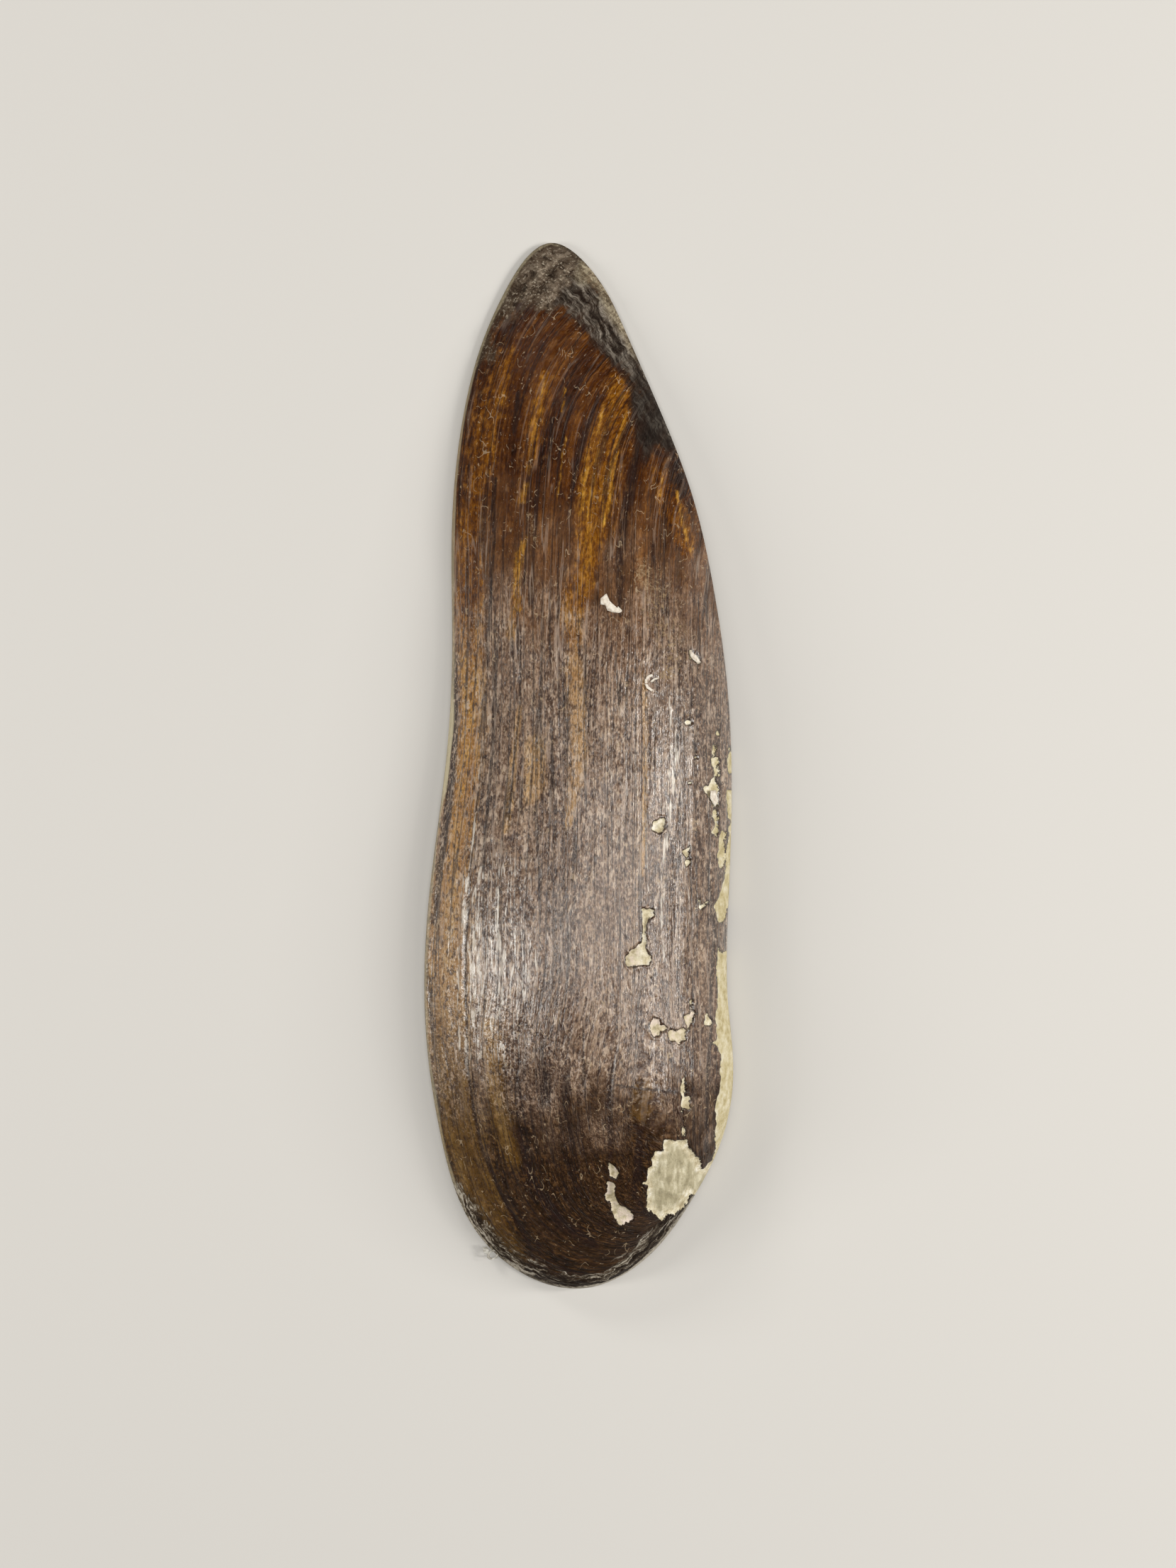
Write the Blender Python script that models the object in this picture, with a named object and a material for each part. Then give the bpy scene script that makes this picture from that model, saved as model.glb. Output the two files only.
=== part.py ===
"""One valve of a freshwater mussel shell, lying on its rim with the outer face up.

The valve is a single grown piece: a thin vaulted wall, an edge that is rounded outside and
flat underneath, and a wider flat hinge plate along the straight side.

Frame: +Y points to the tapered rear end, +X to the hinge side and +Z out of the outer face.
The origin is under the middle of the valve, in the plane that it rests on.
The dimensions are in millimetres, and the mesh is in metres.
"""

import math

import bmesh
import bpy
import numpy as np

MM = 0.001

# Driving dimensions
VALVE_LENGTH = 125.0
CREST_HEIGHT = 12.6
RIM_HEIGHT = 0.6
WALL = 1.8
LIP_ROUNDING = 0.35

# Edge of the valve seen from above, from the rear tip round the belly side, the blunt
# front end and the beak to the hinge side. The belly side has a shallow hollow.
OUTLINE = (
    (-3.1, 62.5), (-9.1, 56.3), (-13.4, 44.2), (-15.2, 29.5), (-15.2, 14.0), (-15.9, 1.0),
    (-17.9, -15.0), (-18.4, -31.0), (-16.4, -45.0), (-12.9, -54.8), (-7.6, -60.2),
    (0.3, -62.5), (8.2, -58.7), (13.4, -52.0), (17.1, -44.5), (18.4, -36.0), (17.75, -28.0),
    (17.7, -20.0), (18.2, -5.0), (17.7, 9.5), (16.0, 21.5), (13.6, 32.0), (9.6, 42.6),
    (5.4, 52.2), (1.4, 59.3),
)

# The vault: where its crest runs, and how full its slopes are
CREST_SHARE = 0.58
CREST_Y = -24.5
FRONT_FULLNESS = 2.3
FRONT_ROUNDNESS = 1.7
REAR_FULLNESS = 2.0
BELLY_FULLNESS = 2.2
HINGE_FULLNESS = 2.6
HINGE_ROUNDNESS = 1.35
HINGE_ROUNDNESS_FADE = (-20.0, 15.0)

# Broad forms on the vault: centre, reach and share of the height that each adds
BEAK_SWELL = ((9.0, -45.0), (6.5, 9.0), 0.09)
BELLY_FURROW = ((-7.0, 4.0), (7.0, 24.0), -0.03)

# Growth ledges, as shares of the way from the middle line to the edge
LEDGE_PLACES = (0.53, 0.75, 0.89)
LEDGE_WIDTH = 0.02
LEDGE_DROP = 0.28
LEDGE_FADE = (3.0, 11.0)
HINGE_LINE = ((13.0, -50.0), (10.0, 42.0))

# Flat land under the edge
EDGE_LAND = 1.3
HINGE_LAND = 2.9
HINGE_LAND_START = (-58.0, -47.0)
HINGE_LAND_END = (-8.0, 28.0)

# Mesh
AROUND = 96
RINGS_BETWEEN_LEDGES = (6, 4, 3, 3)
INNER_RINGS = 11
MIDDLE_LINE_SHARE = 0.66
MIDDLE_PULL = 4
SAMPLES_PER_SPOKE = 40
SHARP_ANGLE = math.radians(40)

SHELL_COLOUR = (0.13, 0.075, 0.045, 1.0)
SHELL_ROUGHNESS = 0.42


def smooth_step(low, high, value):
    """0 below low, 1 above high, with a soft passage between them."""
    share = np.clip((value - low) / (high - low), 0.0, 1.0)
    return share * share * (3.0 - 2.0 * share)


def closed_spline(knots, samples):
    """Points along the smooth closed curve through the knots, evenly spaced along it."""
    count = len(knots)
    following = np.roll(knots, -1, axis=0)
    chords = np.linalg.norm(following - knots, axis=1)
    system = np.zeros((count, count))
    target = np.zeros((count, 2))
    for i in range(count):
        before, after = chords[i - 1], chords[i]
        system[i, i - 1] = after
        system[i, i] = 2.0 * (before + after)
        system[i, (i + 1) % count] = before
        leaving = before / after * (following[i] - knots[i])
        arriving = after / before * (knots[i] - knots[i - 1])
        target[i] = 3.0 * (leaving + arriving)
    slopes = np.linalg.solve(system, target)

    t = np.linspace(0.0, 1.0, 50, endpoint=False)[:, None]
    curve = []
    for i in range(count):
        start = (2 * t**3 - 3 * t**2 + 1) * knots[i] + (t**3 - 2 * t**2 + t) * chords[i] * slopes[i]
        j = (i + 1) % count
        end = (3 * t**2 - 2 * t**3) * knots[j] + (t**3 - t**2) * chords[i] * slopes[j]
        curve.append(start + end)
    curve = np.vstack(curve + [knots[:1]])
    travelled = np.concatenate(([0.0], np.cumsum(np.linalg.norm(np.diff(curve, axis=0), axis=1))))
    stations = np.linspace(0.0, travelled[-1], samples, endpoint=False)
    return np.column_stack([np.interp(stations, travelled, curve[:, axis]) for axis in (0, 1)])


def outward_directions(outline):
    """Unit vectors pointing out of a closed outline that runs anticlockwise."""
    along = np.roll(outline, -1, axis=0) - np.roll(outline, 1, axis=0)
    outward = np.column_stack((along[:, 1], -along[:, 0]))
    return outward / np.linalg.norm(outward, axis=1)[:, None]


def distance_to_hinge(x, y):
    """How far points lie from the straight hinge line, seen from above."""
    start, end = np.array(HINGE_LINE)
    run = end - start
    share = ((x - start[0]) * run[0] + (y - start[1]) * run[1]) / run.dot(run)
    share = np.clip(share, 0.0, 1.0)
    return np.hypot(x - start[0] - share * run[0], y - start[1] - share * run[1])


def broad_form(x, y, form):
    """A soft rise or hollow round a centre, as a share of the vault's height."""
    centre, reach, amount = form
    return amount * np.exp(-((x - centre[0]) / reach[0]) ** 2 - ((y - centre[1]) / reach[1]) ** 2)


class Vault:
    """The smooth vault over an outline, with its crest running lengthwise."""

    def __init__(self, outline, height):
        self.height = height
        self.rear = outline[:, 1].max()
        self.front = outline[:, 1].min()
        tip, toe = outline[:, 1].argmax(), outline[:, 1].argmin()
        turned = np.roll(outline, -tip, axis=0)
        toe = (toe - tip) % len(outline)
        self.belly = turned[toe::-1]
        self.hinge = np.vstack((turned[toe:], turned[:1]))

    def sides(self, y):
        """The outline's belly and hinge edges at a station along the length."""
        belly = np.interp(y, self.belly[:, 1], self.belly[:, 0])
        hinge = np.interp(y, self.hinge[:, 1], self.hinge[:, 0])
        return belly, hinge

    def middle(self, y):
        """The line half way between the two edges."""
        belly, hinge = self.sides(y)
        return 0.5 * (belly + hinge)

    def rise(self, x, y):
        """Height of the vault above its outline."""
        to_front = np.clip((CREST_Y - y) / (CREST_Y - self.front), 0.0, 1.0)
        to_rear = np.clip((y - CREST_Y) / (self.rear - CREST_Y), 0.0, 1.0)
        crest = (1.0 - to_front**FRONT_FULLNESS) ** (1.0 / FRONT_ROUNDNESS)
        crest = crest * (1.0 - to_rear**REAR_FULLNESS)

        belly, hinge = self.sides(y)
        crest_x = belly + CREST_SHARE * (hinge - belly)
        to_belly = np.clip((crest_x - x) / np.maximum(crest_x - belly, 0.01), 0.0, 1.0)
        to_hinge = np.clip((x - crest_x) / np.maximum(hinge - crest_x, 0.01), 0.0, 1.0)
        roundness = 1.0 + (HINGE_ROUNDNESS - 1.0) * (1.0 - smooth_step(*HINGE_ROUNDNESS_FADE, y))
        slope = (1.0 - to_belly**BELLY_FULLNESS)
        slope = slope * (1.0 - to_hinge**HINGE_FULLNESS) ** (1.0 / roundness)
        forms = 1.0 + broad_form(x, y, BEAK_SWELL) + broad_form(x, y, BELLY_FURROW)
        return self.height * crest * slope * forms


def ledge_relief(share, x, y):
    """Sawtooth relief of the growth ledges: each layer rises and then drops at its old edge."""
    relief = np.zeros_like(x)
    start = 0.0
    for place in LEDGE_PLACES:
        rising = np.clip((share - start) / (place - start), 0.0, 1.0) ** 3
        dropping = np.clip((share - place) / LEDGE_WIDTH, 0.0, 1.0)
        relief = relief + rising * (1.0 - dropping)
        start = place + LEDGE_WIDTH
    return LEDGE_DROP * relief * smooth_step(*LEDGE_FADE, distance_to_hinge(x, y))


def ring_places(outline, vault, share):
    """Where a ring runs, seen from above: on the edge at share 1, at the middle at share 0."""
    centre_y = 0.5 * (vault.front + vault.rear)
    centre = np.array((vault.middle(centre_y), centre_y))
    middle_y = centre_y + MIDDLE_LINE_SHARE * (outline[:, 1] - centre_y)
    middle = np.column_stack((vault.middle(middle_y), middle_y))
    pull = 1.0 - (1.0 - share) ** MIDDLE_PULL
    inner_end = centre + pull * (middle - centre)
    return inner_end + share * (outline - inner_end)


def outer_shares():
    """Shares of the outer rings, with a close pair at each ledge."""
    shares = []
    start = 0.0
    for place, count in zip(LEDGE_PLACES, RINGS_BETWEEN_LEDGES):
        shares.extend(np.linspace(start, place, count, endpoint=False))
        shares.append(place)
        start = place + LEDGE_WIDTH
    shares.extend(np.linspace(start, 1.0, RINGS_BETWEEN_LEDGES[-1] + 1))
    return shares


def hinge_share(points):
    """1 along the hinge plate, 0 along the thin edges."""
    rising = smooth_step(*HINGE_LAND_START, points[:, 1])
    falling = 1.0 - smooth_step(*HINGE_LAND_END, points[:, 1])
    return rising * falling * (points[:, 0] > 0.0)


def valve_rings():
    """All rings of the closed surface, from the crest outside to the deepest point inside."""
    margin = closed_spline(np.array(OUTLINE), AROUND * SAMPLES_PER_SPOKE)
    margin *= VALVE_LENGTH / np.ptp(margin[:, 1])
    margin -= 0.5 * (margin.max(axis=0) + margin.min(axis=0))
    outward = outward_directions(margin)
    land = EDGE_LAND + HINGE_LAND * hinge_share(margin)
    inner_edge = margin - outward * land[:, None]
    outside = Vault(margin, CREST_HEIGHT - RIM_HEIGHT)
    inside = Vault(inner_edge, CREST_HEIGHT - WALL)

    rings = []
    for share in outer_shares():
        plan = ring_places(margin, outside, share)[::SAMPLES_PER_SPOKE]
        x, y = plan.T
        z = RIM_HEIGHT + outside.rise(x, y) + ledge_relief(share, x, y)
        rings.append(np.column_stack((x, y, z)))

    lip_steps = ((0.3 * LIP_ROUNDING, 0.4 * RIM_HEIGHT), (LIP_ROUNDING, 0.0))
    for inset, height in lip_steps:
        plan = (margin - inset * outward)[::SAMPLES_PER_SPOKE]
        rings.append(np.column_stack((plan, np.full(AROUND, height))))

    for share in np.linspace(1.0, 0.0, INNER_RINGS + 1):
        plan = ring_places(inner_edge, inside, share)[::SAMPLES_PER_SPOKE]
        x, y = plan.T
        rings.append(np.column_stack((x, y, inside.rise(x, y))))
    return rings


def make_material():
    material = bpy.data.materials.new("shell_skin")
    material.use_nodes = True
    shader = material.node_tree.nodes["Principled BSDF"]
    shader.inputs["Base Color"].default_value = SHELL_COLOUR
    shader.inputs["Roughness"].default_value = SHELL_ROUGHNESS
    shader.inputs["Metallic"].default_value = 0.0
    material.diffuse_color = SHELL_COLOUR
    return material


def make_valve(collection):
    """A ball whose rings are moved to the valve's rings: its equator becomes the edge."""
    rings = valve_rings()
    builder = bmesh.new()
    bmesh.ops.create_uvsphere(builder, u_segments=AROUND, v_segments=len(rings) - 1, radius=1.0)
    for vertex in builder.verts:
        latitude = math.acos(max(-1.0, min(1.0, vertex.co.z)))
        longitude = math.atan2(vertex.co.y, vertex.co.x) % math.tau
        ring = round(latitude / math.pi * (len(rings) - 1))
        spoke = round(longitude / math.tau * AROUND) % AROUND
        vertex.co = rings[ring][spoke] * MM
    mesh = bpy.data.meshes.new("shell_valve")
    builder.to_mesh(mesh)
    builder.free()
    mesh.shade_smooth()
    mesh.set_sharp_from_angle(angle=SHARP_ANGLE)
    mesh.materials.append(make_material())
    valve = bpy.data.objects.new("shell_valve", mesh)
    collection.objects.link(valve)
    return valve


def main():
    for leftover in list(bpy.data.objects):
        bpy.data.objects.remove(leftover, do_unlink=True)
    collection = bpy.data.collections.new("freshwater_mussel_shell")
    bpy.context.scene.collection.children.link(collection)
    make_valve(collection)


main()
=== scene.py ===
"""Looks of the mussel valve: fine relief, skin with its wear and some painted highlights and shade, bare
chalk, nacre, floor, light and camera.
"""
import math

import bmesh
import bpy
import numpy as np
from mathutils import Matrix, Vector, kdtree, noise


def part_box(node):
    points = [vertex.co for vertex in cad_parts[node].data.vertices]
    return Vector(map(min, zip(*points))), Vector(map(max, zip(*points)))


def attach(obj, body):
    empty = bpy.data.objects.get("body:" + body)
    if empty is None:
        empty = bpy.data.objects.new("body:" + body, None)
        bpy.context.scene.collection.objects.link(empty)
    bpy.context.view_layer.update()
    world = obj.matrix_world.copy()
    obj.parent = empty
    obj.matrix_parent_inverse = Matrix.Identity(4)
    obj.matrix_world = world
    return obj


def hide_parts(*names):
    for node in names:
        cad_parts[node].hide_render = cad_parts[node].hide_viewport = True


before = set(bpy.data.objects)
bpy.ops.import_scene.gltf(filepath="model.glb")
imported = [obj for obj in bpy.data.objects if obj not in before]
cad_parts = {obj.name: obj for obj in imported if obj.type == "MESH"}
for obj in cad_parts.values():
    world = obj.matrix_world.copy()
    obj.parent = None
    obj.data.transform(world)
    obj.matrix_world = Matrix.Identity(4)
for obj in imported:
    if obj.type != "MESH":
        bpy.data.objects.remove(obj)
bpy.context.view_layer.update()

# The valve's sizes are in millimetres and become metres when a mesh is made
MM = 0.001
LOW, HIGH = (np.array(corner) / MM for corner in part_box("shell_valve"))
VALVE_LENGTH = HIGH[1] - LOW[1]
CREST_HEIGHT = HIGH[2]
RIM_HEIGHT = 0.6
WALL = 1.8
LIP_ROUNDING = 0.35

# Edge of the valve seen from above, from the rear tip round the belly side, the blunt
# front end and the beak to the hinge side
OUTLINE = (
    (-3.1, 62.5), (-9.1, 56.3), (-13.4, 44.2), (-15.2, 29.5), (-15.2, 14.0), (-15.9, 1.0),
    (-17.9, -15.0), (-18.4, -31.0), (-16.4, -45.0), (-12.9, -54.8), (-7.6, -60.2),
    (0.3, -62.5), (8.2, -58.7), (13.4, -52.0), (17.1, -44.5), (18.4, -36.0), (17.75, -28.0),
    (17.7, -20.0), (18.2, -5.0), (17.7, 9.5), (16.0, 21.5), (13.6, 32.0), (9.6, 42.6),
    (5.4, 52.2), (1.4, 59.3),
)

# The vault, as the solid has it
CREST_SHARE = 0.58
CREST_Y = -24.5
FRONT_FULLNESS = 2.3
FRONT_ROUNDNESS = 1.7
REAR_FULLNESS = 2.0
BELLY_FULLNESS = 2.2
HINGE_FULLNESS = 2.6
HINGE_ROUNDNESS = 1.35
HINGE_ROUNDNESS_FADE = (-20.0, 15.0)
BEAK_SWELL = ((9.0, -45.0), (6.5, 9.0), 0.09)
BELLY_FURROW = ((-7.0, 4.0), (7.0, 24.0), -0.03)

# Flat land under the edge
EDGE_LAND = 1.3
HINGE_LAND = 2.9
HINGE_LAND_START = (-58.0, -47.0)
HINGE_LAND_END = (-8.0, 28.0)

# Mesh
AROUND = 720
OUTER_RINGS = 108
LIP_RINGS = 4
INNER_RINGS = 22
INNER_CROWDING = 1.4
HINGE_CROWDING = 1.3
HINGE_CROWDING_START = (-60.0, -54.0)
HINGE_CROWDING_END = (4.0, 14.0)
MIDDLE_LINE_SHARE = 0.66
MIDDLE_PULL = 4
MARGIN_SAMPLES = 12000
SPAN_SAMPLES = 50

# Camera: straight above, with the photograph's framing
CAMERA_HEIGHT = 300.0
CAMERA_PLACE = (1.10, -2.16)
FRAME_HEIGHT = 187.7
SENSOR = 36.0

# Growth lines: each is named by where it crosses the middle of the valve. Towards the rear
# they lean over to the hinge side, and round the front they close in on the beak.
BEAK = (14.0, -48.5)
EDGE_LINE = -15.2
LINE_BEND = (12.2, -0.477, 2.0)
LINE_BEND_LENGTH = (9.0, -0.155, 4.0)
LINE_END = (62.5, -1.11)
LINE_OVERSHOOT = 6.0
LINE_SPREAD = 3.3
LINE_SPREAD_FADE = (-25.0, 12.0)
SPREAD_LINES = (-4.0, 11.2)
SPREAD_LIMIT = 1.3
FRONT_ROW_Y = -25.0
FRONT_ROW_X = (-19.5, 8.0)
FRONT_ROW_COUNT = 80
BEAK_LINE = 12.0
FRONT_BLEND = (-34.0, -16.0)
WRAP_START = 2.4
WRAP_LENGTH = 16.0
WRAP_ANGLES = ((93.0, 120.0), (285.0, 310.0))
WRAP_LIMIT = 320.0
LINE_RANGE = (-24.0, 34.0)
LINE_HALVINGS = 24

# Bare chalk where the skin has flaked off: corners seen from above
CHALK = {
    "beak": (
        (10.3, -44.7), (11.5, -44.8), (12.9, -44.8), (13.1, -45.6), (13.7, -46.1), (13.9, -46.7),
        (14.5, -46.9), (14.8, -48.3), (15.9, -47.5), (16.6, -48.3), (15.6, -51.7), (14.2, -51.5),
        (13.5, -51.3), (13.0, -51.8), (13.1, -52.2), (12.2, -53.2), (11.4, -53.8), (10.7, -53.8),
        (10.0, -54.4), (9.6, -54.2), (8.6, -53.1), (8.4, -53.8), (8.2, -52.6), (8.1, -51.5),
        (8.3, -50.3), (7.6, -49.9), (8.1, -49.7), (8.3, -48.2), (8.9, -47.9), (8.8, -47.2),
        (9.1, -46.2), (10.1, -46.1), (10.1, -45.3)),
    "hinge_band": (
        (16.6, -21.5), (17.2, -22.4), (17.6, -22.1), (19.0, -22.0), (19.8, -35.6), (19.4, -44.1),
        (16.8, -49.2), (14.8, -49.6), (14.8, -48.3), (15.9, -47.2), (16.4, -45.7), (16.4, -43.9),
        (16.5, -42.7), (16.4, -40.7), (16.9, -39.0), (17.0, -37.6), (16.9, -36.3), (17.0, -34.6),
        (16.7, -33.6), (16.0, -33.2), (16.6, -32.7), (16.6, -31.4), (16.4, -30.0), (16.7, -29.0),
        (16.7, -27.1), (16.6, -24.9), (16.6, -22.0)),
    "rim_low": (
        (18.1, -6.6), (18.6, -6.6), (19.0, -15.4), (18.5, -16.1), (17.7, -17.1), (17.5, -18.5),
        (17.1, -19.0), (16.7, -18.5), (16.2, -16.8), (16.9, -15.5), (17.2, -14.4), (17.5, -13.3),
        (17.6, -11.5), (17.7, -9.7), (17.9, -8.4), (18.0, -7.3)),
    "rim_mid": (
        (17.8, -2.8), (18.5, -3.0), (18.6, -6.6), (18.2, -6.6), (17.8, -6.1), (17.7, -5.4),
        (17.8, -4.6), (17.7, -3.9)),
    "rim_high": (
        (17.9, 2.3), (18.5, 1.2), (18.6, -0.8), (18.0, -1.0), (17.8, -0.2), (17.8, 0.4), (17.8, 1.0)),
    "chain": (
        (15.8, 1.1), (16.2, 0.9), (16.5, 1.0), (16.9, 0.6), (16.9, 0.2), (16.6, -0.1), (16.8, -0.4),
        (16.8, -1.2), (16.4, -1.4), (16.4, -2.1), (16.8, -2.2), (16.7, -4.2), (16.7, -4.9),
        (16.2, -5.0), (15.6, -3.9), (15.4, -3.3), (15.1, -3.1), (14.9, -2.7), (15.2, -2.3),
        (15.5, -2.4), (15.6, -2.0), (16.0, -1.5), (16.2, -0.8), (16.1, -0.1), (15.8, 0.3)),
    "chain_top": ((16.1, 2.5), (16.5, 2.5), (16.4, 1.9), (16.3, 1.3), (15.9, 1.5), (16.0, 2.0)),
    "chain_low": (
        (16.0, -5.4), (15.9, -6.1), (16.2, -6.4), (16.2, -7.0), (16.3, -7.3), (15.6, -8.1),
        (16.2, -8.2), (16.4, -8.6), (16.6, -8.3), (16.8, -7.6), (16.6, -7.4), (16.8, -6.3),
        (16.6, -5.5), (16.4, -5.1)),
    "chain_foot": (
        (17.2, -7.6), (17.6, -8.0), (17.7, -8.8), (17.4, -9.0), (17.5, -10.2), (17.6, -10.5),
        (17.6, -11.4), (17.1, -12.2), (16.8, -12.2), (16.7, -11.2), (16.5, -11.0), (16.7, -10.1),
        (16.8, -8.4), (17.0, -7.8)),
    "speck_a": ((12.5, 5.2), (13.1, 5.7), (13.4, 5.2), (13.1, 4.8)),
    "speck_b": ((16.4, 4.0), (16.7, 4.3), (16.8, 3.9), (16.7, 3.6)),
    "speck_c": ((13.7, 1.2), (14.2, 1.2), (14.2, 0.8), (13.8, 0.8)),
    "speck_d": ((12.8, -2.0), (13.4, -1.9), (13.3, -2.2), (12.9, -2.3)),
    "flake_right": (
        (13.3, 14.1), (13.8, 13.4), (14.1, 13.3), (14.7, 12.3), (14.4, 12.1), (13.6, 12.7),
        (13.2, 12.7), (13.2, 13.3)),
    "mid_slip": (
        (13.3, -9.6), (13.3, -10.1), (13.1, -10.5), (13.0, -11.2), (13.3, -11.1), (13.2, -11.7),
        (12.9, -12.1), (12.7, -10.8), (12.4, -10.2), (12.7, -9.9)),
    "tan_dot": (
        (9.7, -6.3), (10.3, -6.2), (10.3, -7.5), (10.1, -7.8), (9.6, -8.2), (9.4, -8.1),
        (8.7, -7.5), (8.9, -6.8)),
    "boot": (
        (7.6, -17.1), (9.0, -17.1), (9.0, -17.9), (8.5, -18.2), (8.1, -18.9), (8.1, -20.5),
        (8.1, -21.9), (8.6, -22.9), (8.4, -23.8), (7.1, -23.9), (6.0, -24.1), (5.7, -23.7),
        (5.6, -23.0), (6.1, -22.2), (6.9, -21.7), (7.6, -20.9), (7.6, -18.5)),
    "hook": (
        (14.3, -15.9), (14.4, -15.9), (14.5, -16.7), (14.8, -16.6), (15.4, -16.1), (15.5, -16.3),
        (15.0, -16.8), (14.7, -17.3), (14.4, -17.1)),
    "patch_a": (
        (8.6, -30.6), (9.0, -30.1), (9.6, -30.3), (9.8, -30.9), (10.5, -31.3), (10.3, -31.7),
        (9.8, -31.7), (9.6, -32.3), (8.9, -32.4), (8.5, -31.6)),
    "patch_b": (
        (10.5, -31.9), (10.9, -31.5), (11.6, -31.7), (12.5, -31.4), (12.9, -31.6), (12.8, -32.7),
        (12.3, -32.9), (11.9, -33.4), (11.5, -32.9), (10.9, -32.9)),
    "patch_c": (
        (12.5, -30.0), (12.9, -29.8), (13.3, -29.6), (13.3, -28.0), (13.6, -28.0), (13.5, -29.3),
        (14.0, -29.6), (13.7, -29.8), (13.5, -30.7), (13.0, -31.7), (12.7, -30.6)),
    "patch_d": ((15.4, -29.5), (15.6, -30.1), (16.0, -30.4), (16.0, -31.1), (15.1, -31.1), (15.0, -30.3)),
    "sliver": (
        (12.6, -37.2), (12.8, -38.9), (12.7, -39.6), (13.3, -39.6), (13.3, -41.2), (12.5, -41.0),
        (12.4, -41.5), (12.1, -41.3), (12.3, -40.4), (12.4, -39.6), (12.1, -39.0), (12.2, -38.2)),
    "sliver_speck": ((12.3, -43.1), (12.9, -43.2), (12.7, -44.3), (12.4, -44.2)),
    "drip_top": (
        (3.5, -47.1), (3.8, -47.6), (4.4, -48.1), (4.8, -48.7), (4.5, -49.5), (3.8, -49.2),
        (3.6, -48.4), (3.4, -47.5)),
    "drip": (
        (3.3, -49.7), (3.8, -49.7), (4.4, -50.1), (4.3, -50.4), (4.3, -51.4), (4.8, -52.4),
        (5.5, -52.9), (6.1, -53.1), (6.5, -54.0), (6.4, -54.4), (5.8, -54.6), (5.4, -54.7),
        (5.0, -55.2), (4.4, -54.3), (4.1, -53.6), (3.8, -53.0), (3.8, -52.4), (3.2, -51.9),
        (3.2, -51.2), (3.4, -50.9), (3.4, -50.3)),
    "drip_speck": ((6.8, -56.3), (7.3, -55.9), (7.4, -56.1), (7.1, -56.4)),
    "beak_speck": ((7.6, -46.5), (8.0, -46.6), (7.8, -47.0)),
}

# Colour laid over the skin: paths of (x, y, half width) seen from above.
# Amber is the broad orange brown, gold the bright streaks in it.
AMBER = (
    ((5.2, 45.2, 1.5), (4.2, 40.9, 2.0), (2.8, 36.5, 2.1), (1.9, 31.4, 2.0), (1.5, 27.0, 1.5),
     (1.0, 23.0, 1.3), (-0.4, 19.6, 1.5)),
    ((-3.9, 46.9, 0.55), (-4.8, 43.3, 0.8), (-5.3, 38.6, 0.75), (-5.9, 35.5, 0.5)),
    ((-9.0, 49.1, 1.1), (-9.9, 45.4, 1.5), (-10.7, 41.6, 1.4), (-11.6, 36.5, 1.4),
     (-12.3, 31.4, 1.1), (-12.6, 26.3, 1.0)),
    ((9.8, 34.8, 0.7), (10.5, 32.1, 1.2), (12.2, 28.7, 1.1), (12.9, 26.0, 0.9)),
    ((-0.6, 20.4, 1.3), (-0.8, 18.0, 1.5), (-0.2, 14.8, 1.0)),
    ((-0.6, 12.5, 0.9), (-0.3, 7.5, 1.1), (-0.1, 1.8, 1.1), (-0.6, -3.8, 0.7), (-1.4, -7.1, 0.4)),
    ((-7.5, 20.4, 0.65), (-7.8, 15.6, 0.6)),
    ((-7.1, 7.1, 0.3), (-7.7, 1.0, 0.5), (-8.1, -4.6, 0.5), (-8.7, -7.9, 0.25)),
    ((-5.2, 2.6, 1.0), (-5.2, -2.2, 1.2), (-5.8, -3.8, 0.8)),
    ((7.7, 11.1, 0.3), (8.1, 4.2, 0.35), (7.9, -4.6, 0.35), (7.5, -13.1, 0.25)),
    ((-12.9, 30.0, 1.2), (-12.9, 20.4, 1.6), (-12.9, 10.3, 1.5), (-13.1, 3.4, 1.7), (-13.5, -2.2, 1.8),
     (-14.4, -8.7, 1.9), (-15.6, -16.0, 2.2), (-16.0, -23.2, 2.6), (-15.9, -29.7, 2.7),
     (-15.5, -35.4, 2.7), (-14.5, -42.6, 2.6), (-13.2, -47.5, 2.4), (-11.4, -51.5, 2.0),
     (-9.5, -55.6, 1.6), (-7.1, -58.8, 0.9)),
    ((-10.5, -31.0, 0.8), (-9.6, -40.0, 1.4), (-7.8, -47.0, 1.2)),
    ((7.6, -38.5, 1.0), (7.4, -41.5, 1.1)),
)
GOLD = (
    ((5.6, 42.0, 0.31), (4.7, 38.6, 0.34), (4.0, 34.8, 0.37), (3.4, 31.1, 0.48), (3.0, 28.7, 0.27)),
    ((1.0, 35.9, 0.31), (0.5, 33.1, 0.37), (0.2, 30.3, 0.27)),
    ((2.9, 43.3, 0.37), (2.2, 39.9, 0.31)),
    ((1.8, 35.5, 0.2), (1.1, 31.4, 0.2), (1.0, 27.7, 0.17)),
    ((-1.7, 45.2, 0.24), (-2.2, 42.0, 0.2)),
    ((-4.1, 46.7, 0.31), (-4.5, 44.3, 0.27)),
    ((-6.4, 27.5, 0.3), (-7.2, 25.3, 0.6), (-7.5, 21.9, 0.65), (-7.0, 18.7, 0.45)),
    ((-6.3, 33.8, 0.4), (-6.8, 31.6, 0.4)),
    ((9.9, 34.2, 0.2), (9.6, 32.1, 0.2)),
    ((11.5, 33.0, 0.2), (12.2, 30.3, 0.27), (13.0, 27.7, 0.27), (13.4, 25.7, 0.2)),
    ((-1.6, 39.2, 0.14), (-2.0, 34.5, 0.14), (-2.4, 31.8, 0.1)),
    ((-13.0, 8.0, 0.3), (-13.2, 3.0, 0.35), (-13.7, -3.0, 0.3)),
)
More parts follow.
